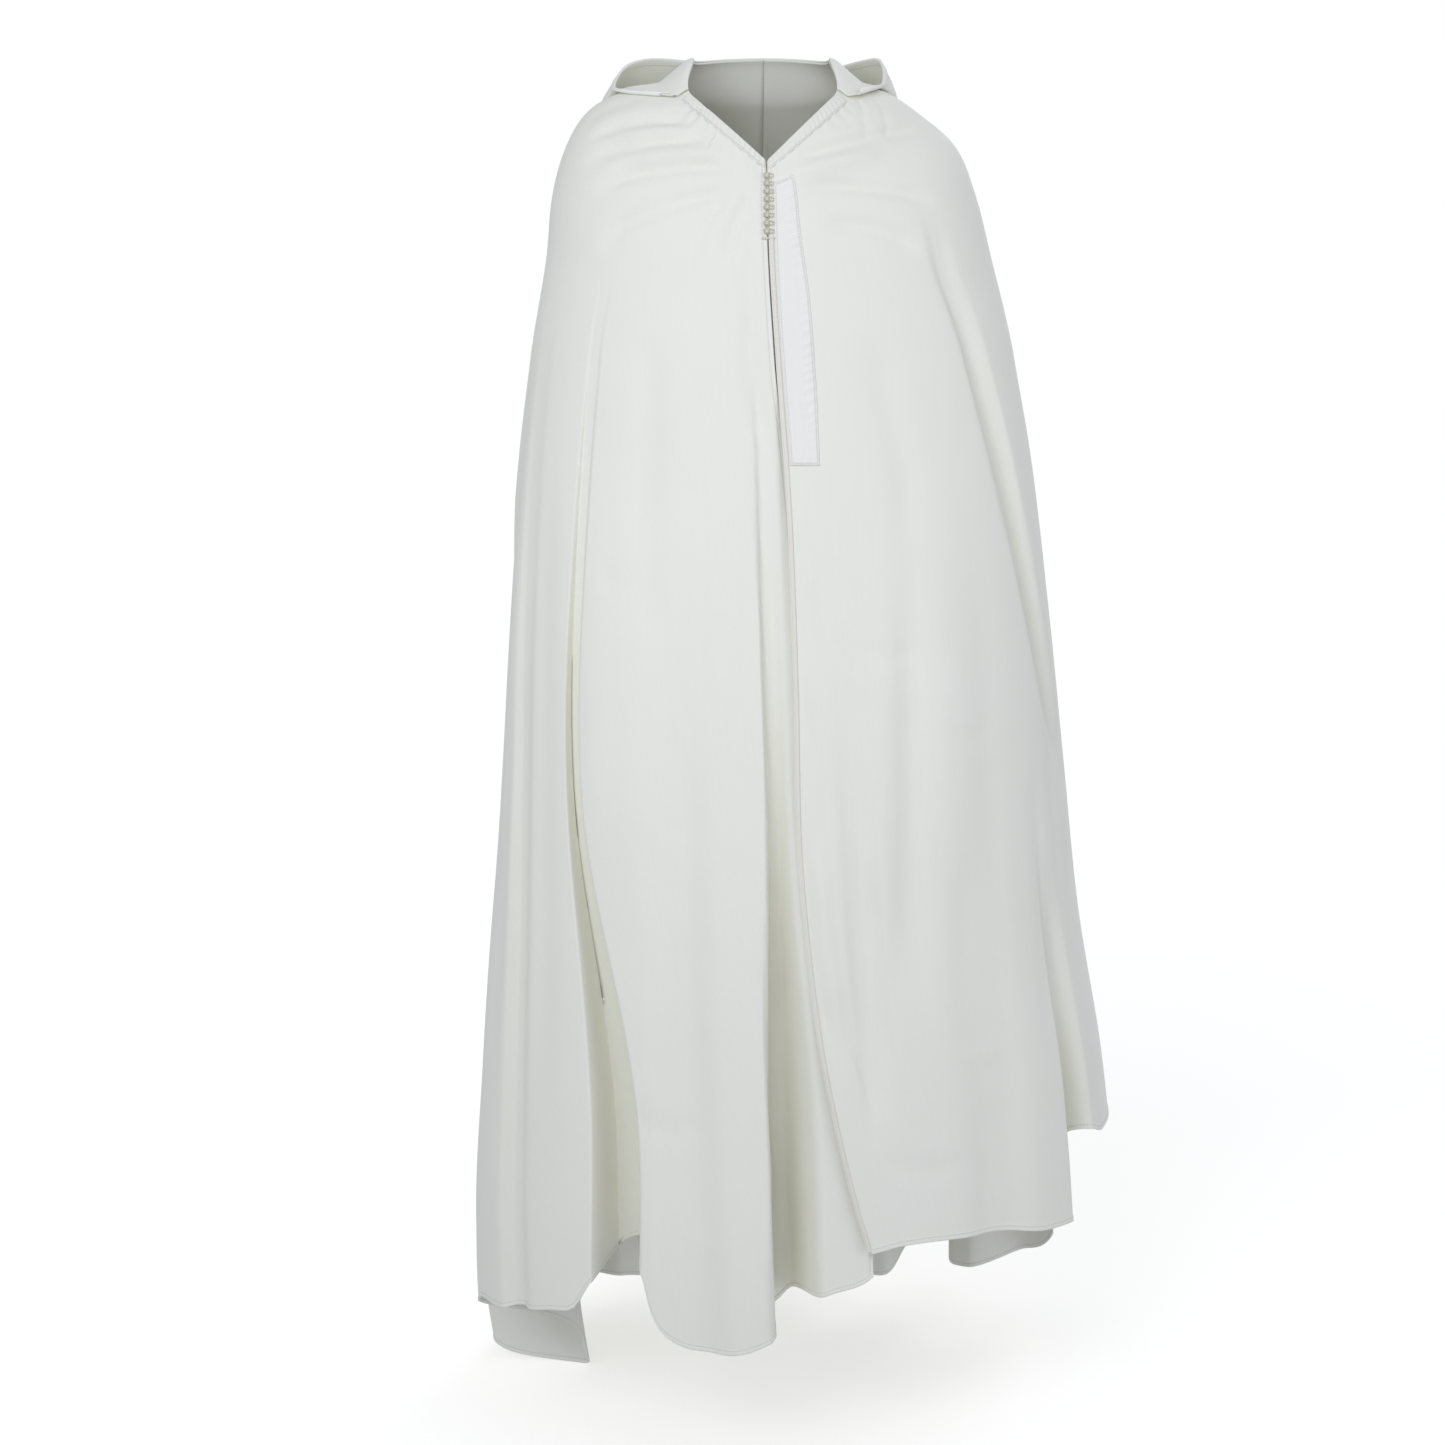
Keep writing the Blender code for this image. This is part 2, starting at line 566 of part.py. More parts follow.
def hood_grid():
    """The middle of the hood's wall. Each column runs from the neck seam down over the cloak to the hood's lower
    fold, and then up its outer layer to the rim, which is a curve with a tangent down the cloth at the fold."""
    angles = np.linspace(-HOOD_START, -360.0 + HOOD_START, HOOD_COLUMNS)
    columns = []
    for angle in angles:
        half = "right" if wrapped(angle) < 0 else "left"
        bottom = float(hood_value("bottom_level", angle))
        share = np.array(HOOD_INNER_SHARES)
        levels = bottom * share
        turned = np.full_like(levels, wrapped(angle))
        lift = HOOD_SEAM_LIFT + (HOOD_LIFT - HOOD_SEAM_LIFT) * smooth_step(levels / HOOD_LIFT_LEVELS)
        normals = cloak_normal(half, turned, levels)
        inner = cloak_point(half, turned, levels) + normals * lift[:, None]
        rim = np.array([hood_value(name, angle) for name in ("rim_x", "rim_y", "rim_z")], float)
        down = inner[-1] - inner[-2]
        down = down / np.linalg.norm(down)
        outward = np.array([math.sin(math.radians(angle)), -math.cos(math.radians(angle)), 0.0])
        span = float(np.linalg.norm(rim - inner[-1]))
        first = inner[-1] + down * 0.16 * span + normals[-1] * 0.05 * span
        second = rim + outward * 0.16 * span - np.array([0.0, 0.0, 0.34 * span])
        along = np.linspace(0.0, 1.0, HOOD_OUTER_ROWS + 1)[1:, None]
        outer = (
            inner[-1] * (1 - along) ** 3
            + first * 3 * along * (1 - along) ** 2
            + second * 3 * along**2 * (1 - along)
            + rim * along**3
        )
        swell = float(hood_value("bulge", angle))
        outer = outer + outward * swell * np.sin(math.pi * along)
        columns.append(np.concatenate([inner, outer]))
    return np.array(columns).transpose(1, 0, 2)


def grid_normals(grid):
    """Unit normals of a grid of points, from its neighbours."""
    normal = np.cross(np.gradient(grid, axis=0), np.gradient(grid, axis=1))
    return normal / np.linalg.norm(normal, axis=-1, keepdims=True)


def make_hood(collection):
    grid = hood_grid()
    mesh = shell_mesh("hood", grid, grid_normals(grid), CLOTH / 2, -CLOTH / 2)
    return add_piece("hood", mesh, "hood_cloth", collection)


def lay_on(name, panel, row_marks, column_marks, slot, collection):
    """A strip that lies on a panel, made from the panel's own points."""
    middle, normals = patch_of(panel, row_marks, column_marks)
    under = CLOTH / 2 + SEAM_GAP
    return add_piece(name, shell_mesh(name, middle, normals, under + TRIM, under), slot, collection)


def make_neck_band(half, panel, collection):
    """The bound edge of the neckline, from the fastening up to the hood."""
    turned = np.abs(panel["angles"][0])
    first = 1.0
    last = float(np.interp(NECK_BAND_TO, turned, np.arange(len(turned))))
    lay_on(f"neck_band_{half}", panel, NECK_BAND_ROWS, marks_between(first, last), "trim", collection)


def make_front_trims(panel, collection):
    """The stitched facing and the braid down the edge of the wearer's left front."""
    rows = marks_between(row_at(panel, 3, FACING_TOP_Z), row_at(panel, 3, FACING_BOTTOM_Z))
    lay_on("front_facing", panel, rows, (3, 4, 5, 6), "trim", collection)
    last_row = panel["middle"].shape[0] - 1
    rows = marks_between(row_at(panel, 1, BRAID_TOP_Z), last_row - BRAID_END_SHARE)
    lay_on("edge_braid", panel, rows, (1, 2), "trim", collection)


def front_y(panel, x, z):
    """Where the middle of a front is, in Y, at a distance from its edge's line and a height."""
    beside = panel["middle"][:, :7]
    y_at = [np.interp(abs(x), row[:, 0], row[:, 1]) for row in beside]
    z_at = [np.interp(abs(x), row[:, 0], row[:, 2]) for row in beside]
    return float(np.interp(-z, -np.array(z_at), y_at))


def make_buttons(panel, collection):
    """Ball buttons down the meeting edges, each with the cord loop that holds it."""
    for number in range(BUTTON_COUNT):
        z = BUTTON_TOP_Z - BUTTON_PITCH * number
        stand = CLOTH / 2 + BUTTON_STAND
        centre = (0.0, front_y(panel, 0.0, z) - stand - BUTTON_RADIUS, z)
        name = f"button_{number + 1}"
        mesh = bpy.data.meshes.new(name)
        ball = bmesh.new()
        bmesh.ops.create_uvsphere(ball, u_segments=8, v_segments=6, radius=BUTTON_RADIUS)
        bmesh.ops.translate(ball, verts=ball.verts, vec=centre)
        ball.to_mesh(mesh)
        ball.free()
        add_piece(name, mesh, "button_cord", collection)
        make_loop(f"loop_{number + 1}", panel, z, collection)


def make_loop(name, panel, z, collection):
    """A cord that passes round the foot of its button and back to the wearer's left front, on the cloth."""
    drop = BUTTON_RADIUS - LOOP_CORD_RADIUS
    turns = np.linspace(math.radians(50), math.radians(310), LOOP_POINTS)
    reach = math.sqrt((BUTTON_RADIUS + BUTTON_STAND + LOOP_CORD_RADIUS) ** 2 - drop**2)
    reach = reach / math.cos((turns[1] - turns[0]) / 2)
    tail = LOOP_CORD_RADIUS + SEAM_GAP
    route = [(reach * math.cos(turn), reach * math.sin(turn)) for turn in turns]
    route = [(reach + LOOP_TAIL, tail)] + route + [(reach + LOOP_TAIL, -tail)]
    curve = bpy.data.curves.new(name, "CURVE")
    curve.dimensions = "3D"
    curve.bevel_depth = LOOP_CORD_RADIUS
    curve.bevel_resolution = 0
    curve.use_fill_caps = True
    spline = curve.splines.new("POLY")
    spline.points.add(len(route) - 1)
    stand = CLOTH / 2 + BUTTON_STAND + LOOP_CORD_RADIUS
    for point, (x, up) in zip(spline.points, route):
        point.co = (x, front_y(panel, x, z + up) - stand, z + up, 1.0)
    curve.materials.append(material("button_cord"))
    loop = bpy.data.objects.new(name, curve)
    collection.objects.link(loop)


def main():
    for item in list(bpy.data.objects):
        bpy.data.objects.remove(item)
    cloak = bpy.data.collections.new("hooded_cloak")
    bpy.context.scene.collection.children.link(cloak)
    panels = {half: cloak_grid(half) for half in ("right", "left")}
    for half, panel in panels.items():
        make_cloak_half(half, panel, cloak)
        make_neck_band(half, panel, cloak)
    make_front_trims(panels["left"], cloak)
    make_buttons(panels["left"], cloak)
    make_hood(cloak)


main()
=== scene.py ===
import math

import bpy
import numpy as np
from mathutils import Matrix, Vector


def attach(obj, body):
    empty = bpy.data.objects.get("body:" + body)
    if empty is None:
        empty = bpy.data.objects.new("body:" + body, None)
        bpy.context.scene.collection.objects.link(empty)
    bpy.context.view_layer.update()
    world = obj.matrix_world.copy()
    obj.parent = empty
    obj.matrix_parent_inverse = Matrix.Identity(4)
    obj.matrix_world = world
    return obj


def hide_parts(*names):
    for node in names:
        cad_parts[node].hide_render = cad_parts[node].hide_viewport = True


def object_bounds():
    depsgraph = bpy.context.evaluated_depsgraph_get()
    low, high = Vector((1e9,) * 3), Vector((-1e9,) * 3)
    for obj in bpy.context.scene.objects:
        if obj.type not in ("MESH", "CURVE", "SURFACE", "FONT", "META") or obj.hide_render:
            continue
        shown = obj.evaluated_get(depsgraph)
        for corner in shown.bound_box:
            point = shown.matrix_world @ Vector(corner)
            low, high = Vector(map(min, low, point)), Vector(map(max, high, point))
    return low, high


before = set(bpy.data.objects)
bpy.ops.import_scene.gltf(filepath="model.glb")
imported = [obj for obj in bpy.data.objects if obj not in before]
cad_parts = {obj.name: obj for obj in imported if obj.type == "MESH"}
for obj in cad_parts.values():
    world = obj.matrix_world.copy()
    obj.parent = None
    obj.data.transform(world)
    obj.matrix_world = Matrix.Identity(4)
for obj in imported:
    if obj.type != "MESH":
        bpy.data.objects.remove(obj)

# Hooded cloak of ivory crepe, buttoned at the chest, with its hood lowered on the back.
# Metres, Z up. The wearer faces -Y, so +X is the wearer's left. A point of the cloth is read at an angle
# round the body (0 in front, +90 at the wearer's left, 180 behind) and at a level (0 at the neckline, 7 at
# the bottom of the shoulder cap, 8 at the hem).

sideSign = {"left": 1.0, "right": -1.0}

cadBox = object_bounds()
print("frame loaded:", len(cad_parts), "nodes")


# Small helpers

def smoothStep(value):  # 0 below 0, 1 above 1, and 10 t^3 - 15 t^4 + 6 t^5 between
    held = np.clip(value, 0.0, 1.0)
    return held**3 * (10.0 - 15.0 * held + 6.0 * held**2)


def between(value, first, last):  # smoothly from 0 at first to 1 at last
    return smoothStep((value - first) / (last - first))


def tableColumn(table, name):  # a table's first row names its columns
    return np.array([row[table[0].index(name)] for row in table[1:]], float)


def throughRows(keys, values, at):
    # cubic pieces through the rows, each with the mean slope of its neighbours, or none at a peak
    keys, values = np.asarray(keys, float), np.asarray(values, float)
    if keys[0] > keys[-1]:
        keys, values = keys[::-1], values[::-1]
    steps = np.diff(keys)
    rises = np.diff(values) / steps
    slopes = np.concatenate([rises[:1], (rises[:-1] + rises[1:]) / 2, rises[-1:]])
    slopes = np.where(np.concatenate([[False], rises[:-1] * rises[1:] <= 0, [False]]), 0.0, slopes)
    at = np.clip(at, keys[0], keys[-1])
    left = np.clip(np.searchsorted(keys, at, side="right") - 1, 0, len(keys) - 2)
    width = steps[left]
    share = (at - keys[left]) / width
    rest = 1 - share
    return (values[left] * (1 + 2 * share) * rest**2 + values[left + 1] * share**2 * (3 - 2 * share)
            + slopes[left] * width * share * rest**2 - slopes[left + 1] * width * share**2 * rest)


def throughPairs(pairs, at):  # the same through rows of a key and a value
    return throughRows([pair[0] for pair in pairs], [pair[1] for pair in pairs], at)


def curveThrough(points, count):  # a smooth line through 3D points, evenly spread over their numbers
    points = np.asarray(points, float)
    at = np.linspace(0.0, len(points) - 1.0, count)
    return np.stack([throughRows(np.arange(len(points)), points[:, axis], at) for axis in range(3)], axis=-1)


def wrapped(angle):  # degrees brought to between -180 and 180
    return (angle + 180.0) % 360.0 - 180.0


def gridNormals(grid):  # the cross product of a grid's steps down its rows and along its columns
    normal = np.cross(np.gradient(grid, axis=0), np.gradient(grid, axis=1))
    return normal / np.maximum(np.linalg.norm(normal, axis=-1, keepdims=True), 1e-12)


def walkedAlong(grid, axis):  # the length of cloth from the first row or column to each point
    steps = np.linalg.norm(np.diff(grid, axis=axis), axis=-1)
    zero = np.zeros_like(np.take(steps, [0], axis=axis))
    return np.cumsum(np.concatenate([zero, steps], axis=axis), axis=axis)


# Shape of the cloak, as in its solids

cloakShape = {
    "capRings": (
        ("halfRight", "halfLeft", "front", "back", "sideZ", "frontZ", "backZ", "roundness"),
        (0.105, 0.096, 0.118, 0.070, 0.010, -0.086, 0.022, 2.00),
        (0.126, 0.114, 0.126, 0.098, 0.007, -0.101, -0.008, 2.10),
        (0.166, 0.139, 0.134, 0.122, 0.000, -0.118, -0.042, 2.20),
        (0.202, 0.172, 0.140, 0.138, -0.021, -0.137, -0.076, 2.25),
        (0.226, 0.216, 0.145, 0.148, -0.059, -0.158, -0.112, 2.30),
        (0.242, 0.240, 0.150, 0.156, -0.113, -0.187, -0.155, 2.30),
        (0.251, 0.261, 0.155, 0.162, -0.190, -0.228, -0.212, 2.30),
        (0.268, 0.287, 0.162, 0.168, -0.286, -0.286, -0.286, 2.30),
        (0.284, 0.309, 0.174, 0.176, -0.401, -0.401, -0.401, 2.30),
    ),
    "lastRing": 7.0,
    # the neckline stands up beside and behind the neck, and leans in towards it
    "standRise": 0.026, "standLean": 0.024, "standFrom": 48.0, "standTo": 82.0, "standLevels": 0.9,
    "skirtGirths": (
        ("z", "halfRight", "halfLeft", "front", "back", "roundness"),
        (-0.286, 0.268, 0.287, 0.162, 0.168, 2.30),
        (-0.401, 0.284, 0.309, 0.174, 0.176, 2.30),
        (-0.577, 0.301, 0.333, 0.194, 0.188, 2.30),
        (-0.760, 0.314, 0.355, 0.214, 0.203, 2.25),
        (-0.941, 0.326, 0.377, 0.233, 0.222, 2.20),
        (-1.128, 0.340, 0.411, 0.248, 0.246, 2.15),
        (-1.321, 0.352, 0.432, 0.260, 0.268, 2.10),
        (-1.440, 0.350, 0.436, 0.264, 0.277, 2.10),
        (-1.560, 0.334, 0.440, 0.268, 0.286, 2.10),
    ),
    "hemRight": (
        ("angle", "z"), (-180, -1.495), (-152, -1.500), (-138, -1.482), (-118, -1.512), (-103, -1.508),
        (-97.5, -1.520), (-95, -1.535), (-92, -1.541), (-88, -1.522), (-84.5, -1.500), (-81.5, -1.452),
        (-78, -1.425), (-60, -1.400), (-43, -1.376), (-37, -1.366), (-33.6, -1.336), (-30, -1.312),
        (-26, -1.300), (-23.5, -1.299), (-22, -1.318), (-20.5, -1.354), (-17.5, -1.386), (-11, -1.402),
        (-2, -1.396), (2.6, -1.376), (7, -1.341), (14, -1.322), (18, -1.300), (24, -1.292),
    ),
    "hemLeft": (
        ("angle", "z"), (0, -1.290), (14, -1.287), (20, -1.279), (35, -1.278), (50, -1.288),
        (55.4, -1.288), (57.6, -1.276), (59.4, -1.250), (61.6, -1.208), (72, -1.199), (82, -1.197),
        (90, -1.194), (96, -1.187), (100, -1.196), (105, -1.240), (111, -1.290), (119, -1.420),
        (129, -1.458), (137, -1.468), (146, -1.452), (154, -1.478), (160, -1.496), (166, -1.480),
        (180, -1.495),
    ),
    "foldTopZ": -0.20, "foldHemZ": -1.45, "foldGrowth": 1.30, "bendWeight": 0.030, "easeAngle": 34.0,
    # steps of the tables that are read backwards, and how many degrees from the front edge they reach
    "levelSteps": 900, "besideSteps": 700, "besideReach": 50.0, "hemSteps": 3001,
    # a fold's line runs from topAngle to hemAngle, straight where turn is 0, and between turnFrom and turnTo
    # of the way down where it is 1; core is half its flat width, before and after are its walls, and all are
    # narrow times as wide at the top; a zEnd of -9 says that it runs to the hem
    "turnFrom": 0.33, "turnTo": 0.85, "narrowFrom": 0.40, "narrowTo": 0.82, "shallow": 0.80,
    "folds": (
        ("half", "topAngle", "hemAngle", "turn", "core", "before", "after", "narrow", "reach",
         "pushX", "pushY", "zStart", "zFull", "zFade", "zEnd"),
        ("right", -41.8, -28, 1, 2.6, 2.8, 3.5, 0.48, 0.078, 0.22, 0.97, -0.20, -1.30, -9, -9),
        ("right", -66, -54, 0, 0.5, 6.0, 6.0, 1, 0.014, 0.45, 0.89, -0.20, -0.90, -9, -9),
        ("right", -20, -12, 0, 0.5, 8.0, 8.0, 1, 0.012, 0.20, 0.98, -0.60, -1.20, -9, -9),
        ("right", -1.6, 3.6, 0, 0.8, 1.6, 4.4, 0.44, 0.084, -0.12, 0.99, -0.20, -1.25, -9, -9),
        ("right", 30, 30, 0, 27.0, 3.5, 3.5, 1, 0.008, 0.00, 1.00, -0.29, -0.36, -9, -9),
        ("right", -32, -26, 0, 3.0, 14.0, 14.0, 1, -0.008, 0.30, 0.95, -0.40, -0.66, -0.72, -1.00),
        ("right", -90, -87, 0, 3.0, 8.0, 6.0, 1, 0.122, 1.00, 0.05, -0.45, -1.42, -9, -9),
        ("left", 8, 19, 0, 0.4, 3.2, 3.6, 1, 0.010, 0.00, 1.00, -0.62, -0.92, -0.98, -1.22),
        ("left", 26, 22, 0, 0.5, 4.5, 5.5, 1, 0.010, -0.25, 0.97, -0.42, -0.70, -0.80, -1.12),
        ("left", 30, 26, 0, 3.0, 14.0, 14.0, 1, -0.008, -0.30, 0.95, -0.40, -0.66, -0.72, -1.00),
        ("left", 40, 38, 0, 0.5, 9.0, 9.0, 1, 0.008, -0.50, 0.87, -0.70, -1.15, -9, -9),
        ("left", 46, 103, 0, 0.5, 4.6, 7.0, 1, 0.018, -0.60, 0.80, -0.12, -0.36, -0.56, -0.84),
        ("left", 57.5, 59.6, 0, 0.8, 2.8, 7.5, 0.8, 0.060, -0.62, 0.78, -0.84, -1.30, -9, -9),
        ("left", 112, 108, 0, 3.0, 9.0, 9.0, 1, 0.105, -0.97, 0.25, -0.30, -1.38, -9, -9),
        ("both", -138, -141, 0, 1.5, 9.0, 9.0, 1, 0.085, 0.62, -0.78, -0.30, -1.45, -9, -9),
        ("both", -163, -167, 0, 1.0, 9.0, 9.0, 1, 0.070, 0.20, -0.98, -0.34, -1.45, -9, -9),
        ("both", 167, 161, 0, 1.5, 8.0, 9.0, 1, 0.085, 0.00, -1.00, -0.30, -1.45, -9, -9),
        ("both", 139, 136, 0, 1.0, 9.0, 9.0, 1, 0.074, -0.60, -0.80, -0.32, -1.45, -9, -9),
    ),
    # where the front edges lie; the wearer's left front laps over the right one
    "leftEdgeX": 0.0005,
    "frontEdges": (
        ("z", "overX", "overlap"), (0.000, 0.000, -0.0010), (-0.165, 0.001, -0.0010),
        (-0.300, 0.009, -0.0010), (-0.360, 0.0137, 0.0008), (-0.413, 0.018, 0.0030),
        (-0.500, 0.023, 0.0060), (-0.667, 0.029, 0.0080), (-0.830, 0.033, 0.0100), (-0.950, 0.044, 0.0100),
        (-1.050, 0.057, 0.0090), (-1.150, 0.077, 0.0070), (-1.240, 0.099, 0.0060), (-1.290, 0.113, 0.0045),
        (-1.400, 0.119, 0.0035),
    ),
}


def capValue(name, level):  # a column of the cap's table, smooth between its rings
    rings = cloakShape["capRings"]
    return throughRows(np.arange(len(rings) - 1), tableColumn(rings, name), level)


def skirtValue(name, z):  # a column of the skirt's table, smooth between its heights
    girths = cloakShape["skirtGirths"]
    return throughRows(tableColumn(girths, "z"), tableColumn(girths, name), z)


def girthAt(name, level, z):  # from the cap's rings, and below the last of them from the skirt's
    lastRing = cloakShape["lastRing"]
    return np.where(level <= lastRing, capValue(name, np.minimum(level, lastRing)), skirtValue(name, z))


def hemHeight(half, angle):  # the hem's height, smooth between the marks of its half
    table = cloakShape["hemRight" if half == "right" else "hemLeft"]
    return throughRows(tableColumn(table, "angle"), tableColumn(table, "z"), angle)


def standShare(angle, level):  # 1 at the neckline beside and behind the neck, and 0 in front and further down
    beside = between(np.abs(angle), cloakShape["standFrom"], cloakShape["standTo"])
    return beside * smoothStep(1.0 - level / cloakShape["standLevels"])


def ringHeight(half, angle, level):
    # cap rings dip in front and behind by the sine of the angle, and the skirt's rings run evenly to the hem
    lastRing = cloakShape["lastRing"]
    cosine, sine = np.cos(np.radians(angle)), np.abs(np.sin(np.radians(angle)))
    capLevel = np.minimum(level, lastRing)
    side, front, back = (capValue(name, capLevel) for name in ("sideZ", "frontZ", "backZ"))
    vee = np.clip(1.0 - capLevel / 3.0, 0.0, 1.0)
    frontShare = vee * sine + (1.0 - vee) * sine**2
    capZ = np.where(cosine > 0, front + (side - front) * frontShare, back + (side - back) * sine**2)
    capZ = capZ + cloakShape["standRise"] * standShare(angle, level)
    capEnd = capValue("sideZ", lastRing)
    skirtZ = capEnd + (hemHeight(half, angle) - capEnd) * (level - lastRing)
    return np.where(level <= lastRing, capZ, skirtZ)


def foldsOf(half):  # the folds of a half, each as a dictionary
    names, rows = cloakShape["folds"][0], cloakShape["folds"][1:]
    return [dict(zip(names, row)) for row in rows if row[0] in (half, "both")]


def downShare(z):  # 0 at the folds' top and 1 at their hem
    top, hem = cloakShape["foldTopZ"], cloakShape["foldHemZ"]
    return np.clip((top - z) / (top - hem), 0.0, 1.0)


def foldLine(fold, z):  # the angle of a fold's line at a height, and how wide its walls are there
    share = downShare(z)
    turned = between(share, cloakShape["turnFrom"], cloakShape["turnTo"])
    moved = fold["hemAngle"] - fold["topAngle"]
    line = fold["topAngle"] + moved * (share + (turned - share) * fold["turn"])
    opened = between(share, cloakShape["narrowFrom"], cloakShape["narrowTo"])
    return line, fold["narrow"] + (1.0 - fold["narrow"]) * opened


def foldPush(half, angle, z):
    # each fold moves the cloth along its push, by a smooth bump across its line that grows with the drop
    movedX = np.zeros(np.broadcast(angle, z).shape)
    movedY = np.zeros_like(movedX)
    for fold in foldsOf(half):
        line, scale = foldLine(fold, z)
        off = wrapped(angle - line) / scale
        wall = np.where(off < 0, fold["before"], fold["after"])
        shape = smoothStep(1.0 - (np.abs(off) - fold["core"]) / wall) * scale ** cloakShape["shallow"]
        drop = (fold["zStart"] - z) / (fold["zStart"] - fold["zFull"])
        grown = np.clip(drop, 0.0, 1.0) ** cloakShape["foldGrowth"]
        died = smoothStep((fold["zFade"] - z) / (fold["zFade"] - fold["zEnd"] + 1e-9))
        amount = fold["reach"] * shape * grown * (1.0 - died)
        movedX, movedY = movedX + amount * fold["pushX"], movedY + amount * fold["pushY"]
    return movedX, movedY


def cloakPoint(half, angle, level):
    # a rounded oval: half width times sine to a power, and depth times cosine to a power, moved by the folds
    angle, level = np.broadcast_arrays(np.asarray(angle, float), np.asarray(level, float))
    turned = wrapped(angle)
    ownSide = np.where(turned == -180.0, -180.0 if half == "right" else 180.0, turned)
    z = ringHeight(half, ownSide, level)
    sine, cosine = np.sin(np.radians(turned)), np.cos(np.radians(turned))
    halfWidth = np.where(sine < 0, girthAt("halfRight", level, z), girthAt("halfLeft", level, z))
    depth = np.where(cosine > 0, girthAt("front", level, z), girthAt("back", level, z))
    power = 2.0 / girthAt("roundness", level, z)
    pushX, pushY = foldPush(half, turned, z)
    lean = cloakShape["standLean"] * standShare(turned, level) * np.abs(sine)
    x = (halfWidth - lean) * np.sign(sine) * np.abs(sine) ** power + pushX
    y = -depth * np.sign(cosine) * np.abs(cosine) ** power + pushY
    return np.stack([x, y, z], axis=-1)


def edgeAngle(half, level):  # the angle at which each level meets its front edge
    z = ringHeight(half, np.zeros_like(level), level)
    edges = cloakShape["frontEdges"]
    overX = throughRows(tableColumn(edges, "z"), tableColumn(edges, "overX"), z)
    overlap = throughRows(tableColumn(edges, "z"), tableColumn(edges, "overlap"), z)
    edgeX = overX + (cloakShape["leftEdgeX"] if half == "left" else overlap)
    width = np.where(edgeX < 0, girthAt("halfRight", level, z), girthAt("halfLeft", level, z))
    share = (np.abs(edgeX) / width) ** (girthAt("roundness", level, z) / 2.0)
    return np.sign(edgeX) * np.degrees(np.arcsin(share))


def anglesBeside(half, level, distances):
    # angles at distances of cloth from the front edge, for every level; distances has a row for each level
    start = edgeAngle(half, level)
    reach = cloakShape["besideReach"] * sideSign[half]
    far = start[:, None] + np.linspace(0.0, reach, cloakShape["besideSteps"])[None, :]
    walked = walkedAlong(cloakPoint(half, far, level[:, None]), 1)
    distances = np.broadcast_to(distances, (len(level), np.shape(distances)[-1]))
    return np.array([np.interp(d, w, f) for d, w, f in zip(distances, walked, far)])


def levelAt(half, angle, z):  # the level at which one angle passes a height
    levels = np.linspace(0.0, cloakShape["lastRing"] + 1.0, cloakShape["levelSteps"])
    heights = ringHeight(half, np.full_like(levels, angle), levels)
    return float(np.interp(-z, -heights, levels))
